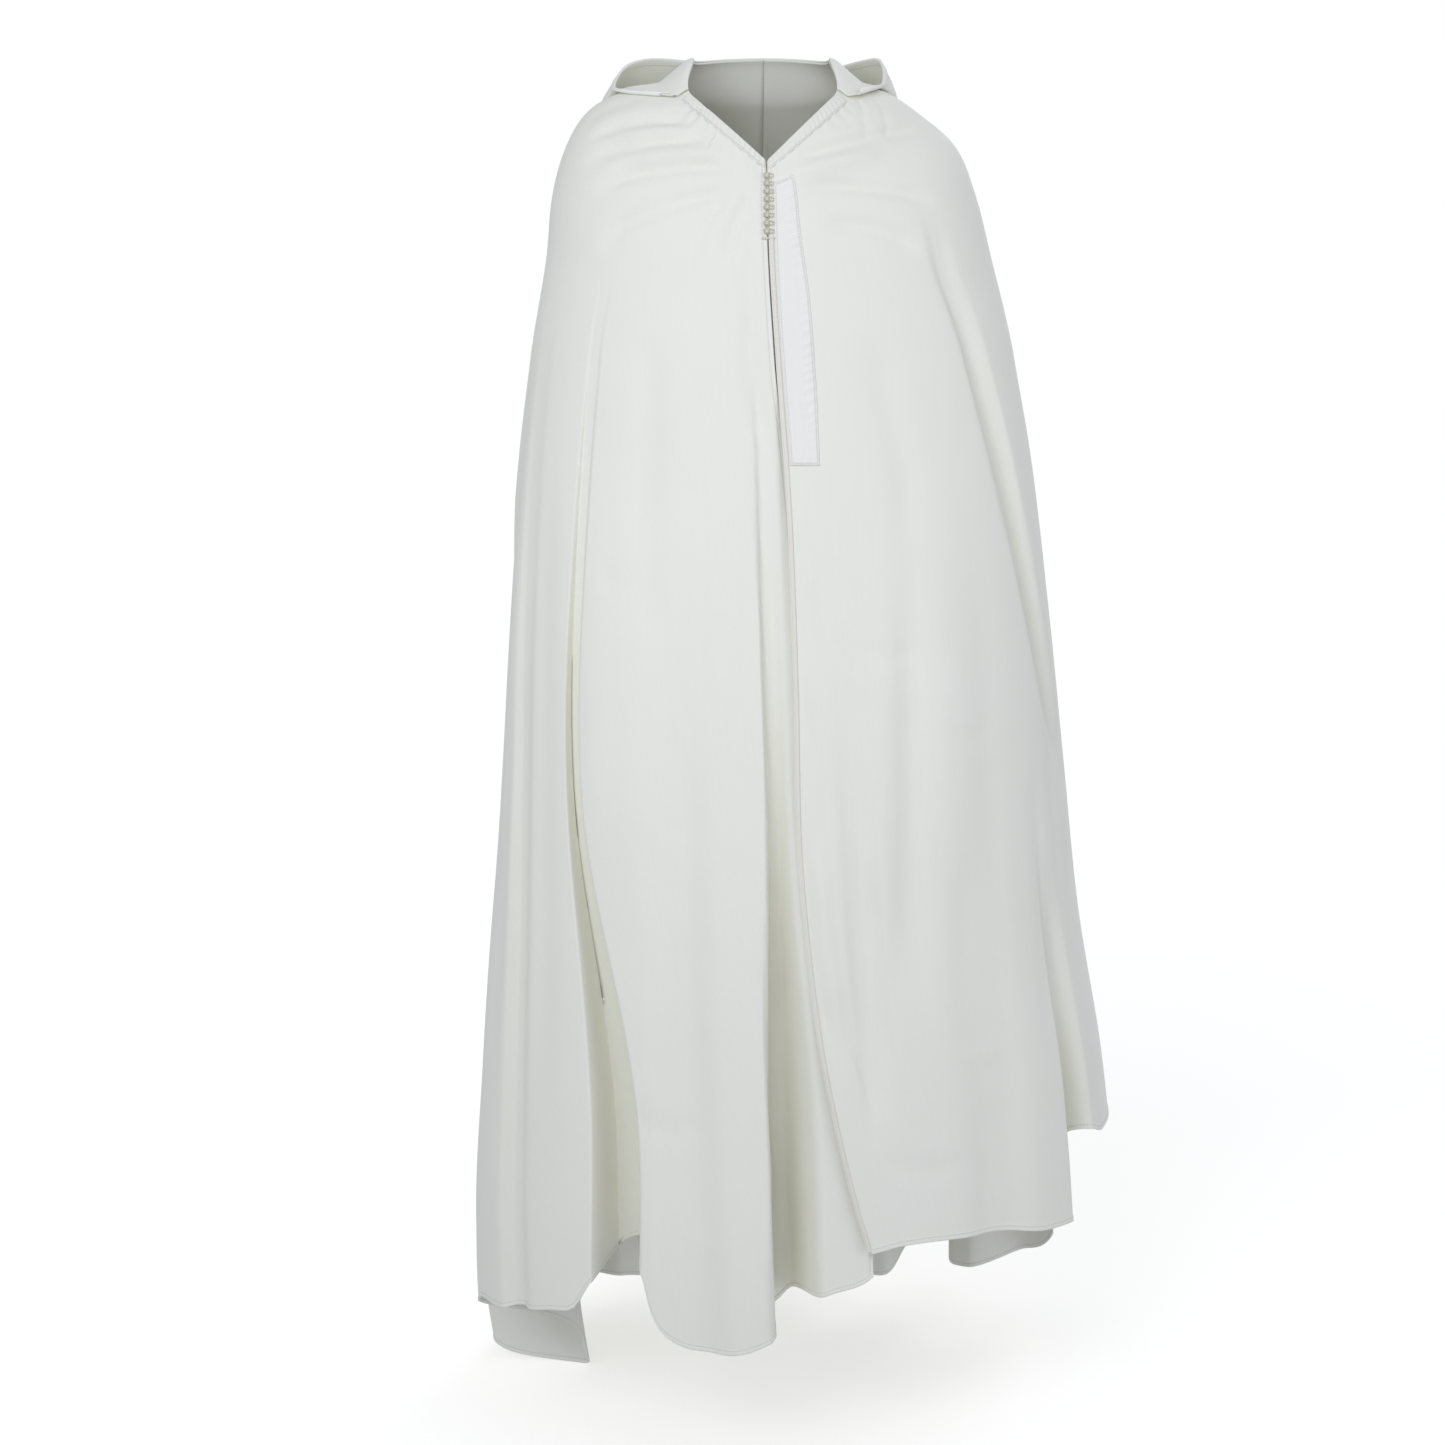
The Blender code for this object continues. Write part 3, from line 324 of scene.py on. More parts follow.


# Creases on the cloth; depth below 0 is a trough and above 0 a ridge, in millimetres

creaseRows = (
    # half, width, depth, then points as (angle, z)
    # drag lines from the fastening across the chest and shoulders
    ("right", 7.5, -6.6, (-34, -0.046), (-47, -0.038), (-58, -0.044), (-66, -0.062)),
    ("right", 8, 3.4, (-30, -0.060), (-42, -0.052), (-56, -0.060)),
    ("right", 8, -7.4, (-22, -0.066), (-36, -0.060), (-50, -0.068), (-63, -0.090)),
    ("right", 9, 3.6, (-14, -0.086), (-28, -0.080), (-46, -0.088)),
    ("right", 8, -7.2, (-8, -0.098), (-22, -0.090), (-38, -0.096), (-55, -0.118)),
    ("right", 9, -6.0, (-7, -0.118), (-20, -0.126), (-36, -0.150), (-48, -0.190)),
    ("right", 9, -1.8, (-64, -0.012), (-70, -0.022), (-74, -0.040)),
    ("right", 5, -3.2, (-6.2, -0.114), (-4.4, -0.138), (-2.6, -0.168)),
    ("right", 6, -4.0, (-5.8, -0.122), (-6.8, -0.158), (-8.6, -0.206)),
    ("right", 5.5, -3.0, (-10.5, -0.116), (-13.5, -0.146), (-16.5, -0.204)),
    ("right", 5, -2.6, (-3.4, -0.160), (-3.0, -0.225), (-2.4, -0.290)),
    ("right", 9, -4.0, (-4.0, -0.240), (-2.2, -0.320), (-0.8, -0.400)),
    ("right", 5, -1.2, (-33, -0.030), (-44, -0.027), (-57, -0.034)),
    ("right", 5, -1.3, (-26, -0.056), (-40, -0.049), (-54, -0.056), (-62, -0.070)),
    ("right", 5, -1.3, (-12, -0.092), (-26, -0.084), (-44, -0.090), (-52, -0.104)),
    ("left", 5, -1.3, (8, -0.094), (24, -0.082), (42, -0.068), (58, -0.060)),
    ("left", 5, -1.1, (12, -0.128), (26, -0.134), (38, -0.144)),
    ("left", 5, -1.2, (34, -0.050), (48, -0.040), (62, -0.034)),
    ("left", 7.5, -6.8, (5, -0.091), (20, -0.078), (40, -0.062), (60, -0.048), (76, -0.042)),
    ("left", 8, 3.4, (10, -0.098), (26, -0.088), (48, -0.074)),
    ("left", 8, -6.8, (9, -0.112), (24, -0.112), (38, -0.116), (54, -0.128)),
    ("left", 10, -5.8, (12, -0.150), (28, -0.158), (42, -0.186)),
    ("left", 3.5, -1.8, (62, -0.006), (58, -0.018), (50, -0.040), (44, -0.066)),
    ("left", 3.5, -1.6, (68, -0.006), (64, -0.020), (57, -0.042), (52, -0.066)),
    # soft valleys down the fronts
    ("right", 18, -4.0, (-57, -0.330), (-54, -0.560), (-50, -0.860), (-48, -1.050), (-51, -1.230)),
    ("right", 16, -4.4, (-25, -0.230), (-24, -0.420), (-22, -0.640)),
    ("right", 15, -3.4, (-15, -0.640), (-13.5, -0.900), (-13, -1.180)),
    ("right", 11, 2.0, (-8, -0.480), (-7.4, -0.700), (-7, -0.930)),
    ("left", 16, -4.6, (20, -0.250), (23, -0.340), (26, -0.430), (26, -0.520)),
    ("left", 17, -2.4, (25, -0.500), (23, -0.780), (22, -1.020)),
    ("left", 8, -4.0, (4.4, -0.760), (5.4, -0.880), (7.0, -0.990), (11, -1.095)),
    ("left", 8, 3.0, (7.0, -0.800), (8.6, -0.930), (11.5, -1.050)),
    ("left", 7, -3.2, (10, -0.960), (13, -1.060), (17, -1.140)),
    ("left", 7, -2.6, (6, -0.520), (9, -0.590), (14, -0.650), (17, -0.720)),
    ("left", 6, 1.6, (8, -0.560), (12, -0.625), (17, -0.680)),
    ("left", 7, -2.8, (5.5, -0.640), (8, -0.715), (12, -0.770), (14, -0.845)),
    ("left", 8, -3.0, (12, -0.800), (15, -0.880), (19, -0.940), (21, -1.030)),
    ("left", 16, -1.8, (34, -0.820), (33, -1.000), (31, -1.170)),
    ("left", 12, -1.8, (58, -0.720), (57, -0.860), (55, -1.000), (54, -1.120)),
    ("left", 12, -1.6, (66, -0.700), (66, -0.840), (65, -0.980)),
    # faint short ones, where the cloth was folded or sat on
    ("right", 8, -1.4, (-36, -0.520), (-30, -0.545), (-25, -0.540)),
    ("right", 7, -1.2, (-20, -0.790), (-15, -0.812), (-10, -0.806)),
    ("right", 9, -1.6, (-24, -1.120), (-17, -1.150), (-9, -1.140)),
    ("right", 7, 1.0, (-17, -1.260), (-11, -1.280), (-5, -1.272)),
    ("left", 8, -1.4, (12, -0.600), (19, -0.622), (27, -0.616)),
    ("left", 7, -1.2, (30, -0.700), (37, -0.716), (45, -0.704)),
    ("left", 9, -1.6, (16, -1.180), (25, -1.196), (33, -1.184)),
    ("left", 7, 1.0, (27, -1.060), (35, -1.074), (43, -1.062)),
    # the sides
    ("right", 20, -4.6, (-78, -0.240), (-80, -0.480), (-79, -0.760), (-74, -1.060)),
    ("right", 16, -3.2, (-69, -0.620), (-70, -0.900), (-70, -1.200)),
    ("right", 22, -5.0, (-101, -0.280), (-103, -0.600), (-104, -0.980), (-103, -1.300)),
    ("right", 15, 2.4, (-97, -0.700), (-98, -0.980), (-98, -1.240)),
    ("right", 14, -2.8, (-88, -0.130), (-92, -0.240), (-94, -0.380)),
    ("left", 18, -4.2, (84, -0.180), (88, -0.420), (90, -0.700), (89, -0.930)),
    ("left", 15, -3.0, (97, -0.520), (98, -0.780), (97, -1.040)),
    ("left", 14, 2.2, (93, -0.700), (94, -0.890), (93, -1.080)),
    ("left", 20, -4.4, (104, -0.200), (106, -0.420), (107, -0.620)),
    ("left", 11, -1.8, (76, -0.860), (80, -0.900), (86, -0.905)),
    # the back
    ("right", 24, -5.6, (-121, -0.260), (-124, -0.560), (-126, -0.900), (-126, -1.280)),
    ("right", 18, -4.0, (-151, -0.480), (-153, -0.760), (-154, -1.060), (-153, -1.330)),
    ("right", 14, 2.4, (-132, -0.620), (-134, -0.840), (-135, -1.010)),
    ("right", 16, -3.4, (-174, -0.420), (-175, -0.640), (-175, -0.900)),
    ("right", 10, -1.8, (-118, -0.760), (-126, -0.790), (-133, -0.780)),
    ("right", 9, -1.5, (-146, -1.120), (-153, -1.150), (-160, -1.145)),
    ("left", 22, -5.2, (126, -0.250), (127, -0.520), (127, -0.860), (126, -1.200)),
    ("left", 17, -3.8, (155, -0.440), (156, -0.700), (157, -1.020), (156, -1.290)),
    ("left", 15, 2.4, (134, -0.520), (135, -0.760), (135, -0.960)),
    ("left", 14, -3.0, (177, -0.700), (177, -0.960), (176, -1.230)),
    ("left", 10, -1.7, (120, -0.940), (128, -0.968), (134, -0.960)),
    ("left", 9, -1.5, (148, -0.600), (156, -0.622), (163, -0.616)),
)


def creaseLines(half):
    # the creases of one half as 3D lines on the smooth cloth, each with its width and depth in metres
    lines = []
    for side, width, depth, *marks in creaseRows:
        if side != half:
            continue
        at = np.linspace(0.0, len(marks) - 1.0, 6 * len(marks))  # six points for each mark
        angles = throughRows(np.arange(len(marks)), [mark[0] for mark in marks], at)
        heights = throughRows(np.arange(len(marks)), [mark[1] for mark in marks], at)
        levels = np.array([levelAt(half, angle, z) for angle, z in zip(angles, heights)])
        lines.append((cloakPoint(half, angles, levels), width / 1000.0, depth / 1000.0))
    return lines


def creaseDepth(points, lines):
    # each crease adds depth times exp(-(distance / width)^2), fading over a share of its length at both ends;
    # past 2.6 widths it is under a hundredth of its depth, and points there are left out
    fadeShare, widths = 0.3, 2.6
    depth = np.zeros(points.shape[:-1])
    for line, width, drop in lines:
        low, high = line.min(axis=0) - widths * width, line.max(axis=0) + widths * width
        near = np.all((points > low) & (points < high), axis=-1)
        if not near.any():
            continue
        starts, steps = line[:-1], np.diff(line, axis=0)
        lengths = np.linalg.norm(steps, axis=1)
        before = np.concatenate([[0.0], np.cumsum(lengths)[:-1]])
        away = points[near][:, None, :] - starts
        share = np.clip((away * steps).sum(-1) / (lengths**2), 0.0, 1.0)
        gaps = np.linalg.norm(away - share[..., None] * steps, axis=-1)
        closest = gaps.argmin(axis=1)[:, None]
        gap = np.take_along_axis(gaps, closest, 1)[:, 0]
        along = np.take_along_axis(before + share * lengths, closest, 1)[:, 0] / lengths.sum()
        fade = smoothStep(along / fadeShare) * smoothStep((1.0 - along) / fadeShare)
        depth[near] += drop * np.exp(-((gap / width) ** 2)) * fade
    return depth


linesOf = {half: creaseLines(half) for half in ("right", "left")}


def drapedGrid(half, angles, levels):
    # the smooth cloth, moved along its outward normal by the creases
    base = cloakPoint(half, angles, levels)
    outward = gridNormals(base) * sideSign[half]
    return base + outward * creaseDepth(base, linesOf[half])[..., None]


# Meshes

def pieceFrom(name, points, faces, material, uv, marks):
    # a smooth mesh from arrays of points and four-cornered faces, with its UV map and a value for each point
    mesh = bpy.data.meshes.new(name)
    mesh.vertices.add(len(points))
    mesh.vertices.foreach_set("co", np.asarray(points, np.float32).ravel())
    faces = np.asarray(faces, np.int32)
    mesh.loops.add(faces.size)
    mesh.loops.foreach_set("vertex_index", faces.ravel())
    mesh.polygons.add(len(faces))
    mesh.polygons.foreach_set("loop_start", np.arange(0, faces.size, faces.shape[1], dtype=np.int32))
    mesh.polygons.foreach_set("use_smooth", np.ones(len(faces), bool))
    mesh.update(calc_edges=True)
    mesh.validate()
    layer = mesh.uv_layers.new(name="clothMetres")  # metres round and down the cloth
    layer.data.foreach_set("uv", np.asarray(uv, np.float32)[faces.ravel()].ravel())
    for markName, values in marks.items():
        attribute = mesh.attributes.new(markName, "FLOAT", "POINT")
        attribute.data.foreach_set("value", np.asarray(values, np.float32))
    mesh.materials.append(material)
    piece = bpy.data.objects.new(name, mesh)
    bpy.context.scene.collection.objects.link(piece)
    return piece


def wallFrom(name, middle, normals, outer, inner, material, uv, marks=None, flip=False):
    # a closed wall: the grid moved out and in along its normals, joined by a rim round its border
    rows, columns = middle.shape[:2]
    outer = np.broadcast_to(outer, middle.shape[:2])[..., None]
    inner = np.broadcast_to(inner, middle.shape[:2])[..., None]
    points = np.stack([middle + normals * outer, middle + normals * inner]).reshape(-1, 3)
    index = np.arange(rows * columns).reshape(rows, columns)
    front = np.stack([index[:-1, :-1], index[1:, :-1], index[1:, 1:], index[:-1, 1:]], axis=-1).reshape(-1, 4)
    back = front[:, ::-1] + rows * columns
    border = np.concatenate([index[0, :], index[1:, -1], index[-1, -2::-1], index[-2:0:-1, 0]])
    following = np.roll(border, -1)
    rim = np.stack([border, following, following + rows * columns, border + rows * columns], axis=-1)
    faces = np.concatenate([front, back, rim])
    if flip:
        faces = faces[:, ::-1]
    doubled = {key: np.tile(np.asarray(value).ravel(), 2) for key, value in (marks or {}).items()}
    return pieceFrom(name, points, faces, material, np.tile(uv.reshape(-1, 2), (2, 1)), doubled)


def clothUv(grid):  # metres round from the first column, and down from the first row
    return np.stack([walkedAlong(grid, 1), walkedAlong(grid, 0)], axis=-1)


# Materials

def linearFrom(hexColour):  # sRGB hex to linear red, green, blue and 1
    parts = [int(hexColour[i:i + 2], 16) / 255.0 for i in (0, 2, 4)]
    return tuple(p / 12.92 if p <= 0.04045 else ((p + 0.055) / 1.055) ** 2.4 for p in parts) + (1.0,)


def addNode(tree, kind, settings=None, values=None, links=None):  # one node of any kind, set and linked
    node = tree.nodes.new(kind)
    for name, value in (settings or {}).items():
        setattr(node, name, value)
    for socket, value in (values or {}).items():
        node.inputs[socket].default_value = value
    for socket, source in (links or {}).items():
        tree.links.new(source, node.inputs[socket])
    return node


crepeSurface = {
    "Roughness": 0.88, "IOR": 1.45, "Metallic": 0.0, "Specular IOR Level": 0.30,
    "Sheen Weight": 0.22, "Sheen Roughness": 0.45,
}


def crepeMaterial(name, look):
    # Wool and viscose crepe, piece dyed and pressed: a matt pebbled face with a faint nap, and no shine
    material = bpy.data.materials.new(name)
    material.use_nodes = True
    tree = material.node_tree
    shader = tree.nodes["Principled BSDF"]
    for socket, value in crepeSurface.items():
        shader.inputs[socket].default_value = value
    shader.inputs["Sheen Tint"].default_value = linearFrom("fbfbf5")

    place = addNode(tree, "ShaderNodeUVMap", {"uv_map": "clothMetres"})
    slubMap = addNode(tree, "ShaderNodeMapping", None, {"Scale": look["slubScale"]},
                      {"Vector": place.outputs["UV"]})
    slub = addNode(tree, "ShaderNodeTexNoise", None, {"Scale": 1.0, "Detail": 3.0, "Roughness": 0.6},
                   {"Vector": slubMap.outputs["Vector"]})  # 1.4 mm yarns, drawn 3 mm wide so that they show
    grainMap = addNode(tree, "ShaderNodeMapping", None, {"Scale": look["grainScale"]},
                       {"Vector": place.outputs["UV"]})
    grain = addNode(tree, "ShaderNodeTexNoise", None, {"Scale": 1.0, "Detail": 2.0, "Roughness": 0.7},
                    {"Vector": grainMap.outputs["Vector"]})  # the pebbled crepe face, drawn at 2.2 mm
    solid = addNode(tree, "ShaderNodeTexCoord")
    cloud = addNode(tree, "ShaderNodeTexNoise", None, {"Scale": look["cloudScale"], "Detail": 2.0},
                    {"Vector": solid.outputs["Object"]})  # slow change of tone over the cloth
    tone = addNode(tree, "ShaderNodeMath", {"operation": "MULTIPLY_ADD"}, {1: 0.55, 2: 0.0},
                   {0: slub.outputs["Fac"]})
    tone = addNode(tree, "ShaderNodeMath", {"operation": "MULTIPLY_ADD", "use_clamp": True}, {1: 0.45},
                   {0: cloud.outputs["Fac"], 2: tone.outputs["Value"]})
    colour = addNode(tree, "ShaderNodeMix", {"data_type": "RGBA"},
                     {6: linearFrom(look["deep"]), 7: linearFrom(look["light"])}, {0: tone.outputs["Value"]})

    # one stitched line beside each finished edge: dashes where the distance from the edge is the stitch's own
    edge = addNode(tree, "ShaderNodeAttribute", {"attribute_name": "fromEdge"})
    along = addNode(tree, "ShaderNodeAttribute", {"attribute_name": "alongEdge"})
    off = addNode(tree, "ShaderNodeMath", {"operation": "SUBTRACT"}, {1: look["stitchAt"]},
                  {0: edge.outputs["Fac"]})
    off = addNode(tree, "ShaderNodeMath", {"operation": "ABSOLUTE"}, None, {0: off.outputs["Value"]})
    line = addNode(tree, "ShaderNodeMapRange", {"interpolation_type": "SMOOTHSTEP"},
                   {"From Min": 0.0003, "From Max": 0.0010, "To Min": 1.0, "To Max": 0.0},
                   {"Value": off.outputs["Value"]})
    turn = addNode(tree, "ShaderNodeMath", {"operation": "MULTIPLY"},
                   {1: 2.0 * math.pi / look["stitchLength"]}, {0: along.outputs["Fac"]})
    wave = addNode(tree, "ShaderNodeMath", {"operation": "SINE"}, None, {0: turn.outputs["Value"]})
    dash = addNode(tree, "ShaderNodeMapRange", {"interpolation_type": "SMOOTHSTEP"},
                   {"From Min": -0.6, "From Max": -0.1, "To Min": 0.25, "To Max": 1.0},
                   {"Value": wave.outputs["Value"]})
    stitch = addNode(tree, "ShaderNodeMath", {"operation": "MULTIPLY"}, None,
                     {0: line.outputs["Result"], 1: dash.outputs["Result"]})
    # painted highlight: within 1.6 mm of each finished edge the colour goes lighter, where the turned edge
    # catches the light
    edgeHighlightMask = addNode(tree, "ShaderNodeMapRange", {"interpolation_type": "SMOOTHSTEP"},
                   {"From Min": 0.0, "From Max": 0.0016, "To Min": 1.0, "To Max": 0.0},
                   {"Value": edge.outputs["Fac"]})
    colour = addNode(tree, "ShaderNodeMix", {"data_type": "RGBA"}, {7: linearFrom(look["stitch"])},
                     {0: stitch.outputs["Value"], 6: colour.outputs[2]})
    edgeHighlight = addNode(tree, "ShaderNodeMath", {"operation": "MULTIPLY"}, {1: look["edgeHighlightShare"]},
                     {0: edgeHighlightMask.outputs["Result"]})
    colour = addNode(tree, "ShaderNodeMix", {"data_type": "RGBA"}, {7: linearFrom(look["edgeHighlight"])},
                     {0: edgeHighlight.outputs["Value"], 6: colour.outputs[2]})
    tree.links.new(colour.outputs[2], shader.inputs["Base Color"])

    rough = addNode(tree, "ShaderNodeMapRange", None, {"To Min": 0.82, "To Max": 0.95},
                    {"Value": grain.outputs["Fac"]})
    tree.links.new(rough.outputs["Result"], shader.inputs["Roughness"])
    soft = addNode(tree, "ShaderNodeTexNoise", None,
                   {"Scale": look["softScale"], "Detail": 2.0, "Roughness": 0.5},
                   {"Vector": solid.outputs["Object"]})  # hand-sized unevenness of cloth that was folded away
    bump = addNode(tree, "ShaderNodeBump", None, {"Strength": look["softBump"], "Distance": 0.004},
                   {"Height": soft.outputs["Fac"]})
    bump = addNode(tree, "ShaderNodeBump", None, {"Strength": look["grainBump"], "Distance": 0.0006},
                   {"Height": grain.outputs["Fac"], "Normal": bump.outputs["Normal"]})
    bump = addNode(tree, "ShaderNodeBump", None, {"Strength": 0.14, "Distance": 0.0006},
                   {"Height": slub.outputs["Fac"], "Normal": bump.outputs["Normal"]})
    bump = addNode(tree, "ShaderNodeBump", {"invert": True}, {"Strength": 0.45, "Distance": 0.0008},
                   {"Height": line.outputs["Result"], "Normal": bump.outputs["Normal"]})
    tree.links.new(bump.outputs["Normal"], shader.inputs["Normal"])
    return material


crepeLook = {
    # the lighter colour at the finished edges, and how much of it shows, are a painted highlight
    "light": "f1f0e1", "deep": "eae9d7", "stitch": "dddbcc", "edgeHighlight": "f4f3e8", "edgeHighlightShare": 0.6,
    "slubScale": (330.0, 14.0, 1.0),  # 3 mm across, 70 mm long
    "grainScale": (450.0, 450.0, 1.0),  # 2.2 mm
    "cloudScale": 7.0, "softScale": 26.0, "softBump": 0.16, "grainBump": 0.22,
    "stitchAt": 0.0050, "stitchLength": 0.0036,
}
facingLook = dict(crepeLook, light="f2f1e4", deep="ebeadb", stitch="dedccf", stitchAt=0.0022, softBump=0.10)
bandLook = dict(crepeLook, light="f0efe0", deep="e6e5d4", stitch="d6d5c6", stitchAt=0.0016)
crepe = crepeMaterial("ivoryWoolCrepe", crepeLook)
facingCrepe = crepeMaterial("doubledPressedCrepe", facingLook)
bandCrepe = crepeMaterial("boundNeckCrepe", bandLook)


cordSurface = {
    "Roughness": 0.55, "IOR": 1.47, "Metallic": 0.0, "Specular IOR Level": 0.40,
    "Sheen Weight": 0.18, "Sheen Roughness": 0.35,
}


def cordMaterial(name, light, deep, strandMm):
    # Twisted viscose cord: round strands, with painted shade between them and a painted soft silky light
    # along each one
    material = bpy.data.materials.new(name)
    material.use_nodes = True
    tree = material.node_tree
    shader = tree.nodes["Principled BSDF"]
    for socket, value in cordSurface.items():
        shader.inputs[socket].default_value = value
    place = addNode(tree, "ShaderNodeUVMap", {"uv_map": "clothMetres"})
    spin = addNode(tree, "ShaderNodeMapping", None, {"Scale": (1000.0 / strandMm, 1000.0 / strandMm, 1.0)},
                   {"Vector": place.outputs["UV"]})
    strands = addNode(tree, "ShaderNodeTexWave", {"wave_type": "BANDS", "bands_direction": "DIAGONAL"},
                      {"Scale": 0.31, "Distortion": 0.8, "Detail": 1.0}, {"Vector": spin.outputs["Vector"]})
    speck = addNode(tree, "ShaderNodeTexNoise", None, {"Scale": 0.6, "Detail": 2.0},
                    {"Vector": spin.outputs["Vector"]})
    paintedStrandShade = addNode(tree, "ShaderNodeMath", {"operation": "MULTIPLY_ADD", "use_clamp": True}, {1: 0.5},
                    {0: speck.outputs["Fac"], 2: strands.outputs["Fac"]})
    # painted shade and sheen: the deep colour in the grooves between the strands and the light one along each
    # strand
    colour = addNode(tree, "ShaderNodeMix", {"data_type": "RGBA"},
                     {6: linearFrom(deep), 7: linearFrom(light)}, {0: paintedStrandShade.outputs["Value"]})
    tree.links.new(colour.outputs[2], shader.inputs["Base Color"])
    bump = addNode(tree, "ShaderNodeBump", None, {"Strength": 0.5, "Distance": 0.0003},
                   {"Height": strands.outputs["Fac"]})
    tree.links.new(bump.outputs["Normal"], shader.inputs["Normal"])
    return material


knotCord = cordMaterial("viscoseKnotCord", "e4dfca", "b9b298", 0.9)  # 0.9 mm strands
braidCord = cordMaterial("viscoseEdgeBraid", "efebdb", "d3ceb8", 1.2)  # 1.2 mm strands
print("materials made")


# Cloak halves

cloakCloth = {
    "wall": 0.0020, "backSeamGap": 0.0003,
    "capRows": 56, "capBias": 1.25, "skirtRows": 104, "columns": 246,
    # rows this far above the hem, and how far above it the even ones end, for a skirt of about this length
    "hemRows": (0.0100, 0.0072, 0.0058, 0.0050, 0.0034, 0.0014, 0.0), "hemStart": 0.0150, "skirtLength": 1.1,
    # columns this far from the front edge
    "edgeColumns": (0.0, 0.0015, 0.0034, 0.0056, 0.0080, 0.0110, 0.0145, 0.0185, 0.0225, 0.0265, 0.0305,
                    0.0345, 0.0385, 0.0425, 0.0470, 0.0520),
    "hemFold": 0.0050, "hemRise": 0.0007, "hemSoft": 0.0009,  # the turned hem: its depth, height and step
    # small gathers below the neck band, gone this far down and, from the front, between these angles
    "gatherPitch": 0.013, "gatherRise": 0.0011, "gatherStart": 0.008, "gatherDepth": 0.030,
    "gatherTo": 62.0, "gatherFade": 14.0,
}


def hemSpread(first, last, half, count):
    # hem angles spaced by the cloth's own length, and closer where it bends
    angles = np.linspace(first, last, cloakShape["hemSteps"])
    steps = np.diff(cloakPoint(half, angles, cloakShape["lastRing"] + 1.0), axis=0)
    bends = np.abs(np.gradient(np.unwrap(np.arctan2(steps[:, 1], steps[:, 0]))))
    weighed = np.linalg.norm(steps, axis=1) + cloakShape["bendWeight"] * bends
    walked = np.concatenate([[0.0], np.cumsum(weighed)])
    return np.interp(np.linspace(0.0, walked[-1], count), walked, angles)


def halfGrid(half):
    # the angle and level of each point of a half: rows of one level, and columns that keep to the front edge
    # and then follow the folds down, spaced evenly between guides whose angles are those of the fold lines
    lastRing, length = cloakShape["lastRing"], cloakCloth["skirtLength"]
    capLevels = lastRing * np.linspace(0.0, 1.0, cloakCloth["capRows"]) ** cloakCloth["capBias"]
    skirtShares = np.linspace(0.0, 1.0 - cloakCloth["hemStart"] / length, cloakCloth["skirtRows"])[1:]
    hemShares = 1.0 - np.array(cloakCloth["hemRows"]) / length
    levels = np.concatenate([capLevels, lastRing + skirtShares, lastRing + hemShares])
    back = 180.0 * sideSign[half]
    beside = anglesBeside(half, levels, np.array(cloakCloth["edgeColumns"]))
    hem = hemSpread(beside[-1, -1], back, half, cloakCloth["columns"] - beside.shape[1] + 1)
    # one guide on each fold that runs to the hem, and on a narrowing one also at each end of its walls
    guides = []
    for fold in foldsOf(half):
        ends = (-fold["core"] - fold["before"], 0.0, fold["core"] + fold["after"])
        offs = ends if fold["narrow"] < 1 else (0.0,)
        guides += [(fold, off) for off in offs if fold["zEnd"] == -9]

    def guideAngles(heights):  # heights has a row for each level and a column for each guide
        found = []
        for i, (fold, off) in enumerate(guides):
            line, scale = foldLine(fold, heights[:, i])
            found.append(line + off * scale)
        return np.stack(found, axis=1)

    hemGuides = guideAngles(np.full((1, len(guides)), cloakShape["foldHemZ"]))[0]
    for _ in range(4):  # an angle sets a height and a height an angle, which settles in four rounds
        hemGuides = guideAngles(hemHeight(half, hemGuides)[None])[0]
    kept = [i for i in np.argsort(hemGuides)
            if (hemGuides[i] - hem[0]) * back > 90 and abs(hemGuides[i] - back) > 1.5]  # inside the half
    placed = np.broadcast_to(hemGuides, (len(levels), len(guides)))
    for _ in range(4):
        placed = guideAngles(ringHeight(half, placed, levels[:, None]))
    frontEnd = np.full(len(levels), beside[cloakCloth["capRows"], -1])
    frontEnd += (hem[0] - frontEnd[0]) * downShare(ringHeight(half, np.full(len(levels), hem[0]), levels))
    ends = np.stack([frontEnd, np.full(len(levels), back)], axis=1)[:, np.argsort([hem[0], back])]
    hemMarks = np.concatenate([[min(hem[0], back)], hemGuides[kept], [max(hem[0], back)]])
    rowMarks = np.concatenate([ends[:, :1], placed[:, kept], ends[:, 1:]], axis=1)
    rowMarks = np.maximum.accumulate(rowMarks, axis=1)
    angles = np.array([np.interp(hem, hemMarks, marks) for marks in rowMarks])
    ease = smoothStep(1.0 - np.abs(angles - angles[:, :1]) / cloakShape["easeAngle"])
    angles = angles + (beside[:, -1:] - angles[:, :1]) * ease
    angles = np.concatenate([beside[:, :-1], angles], axis=1)
    return angles, np.repeat(levels[:, None], angles.shape[1], axis=1)


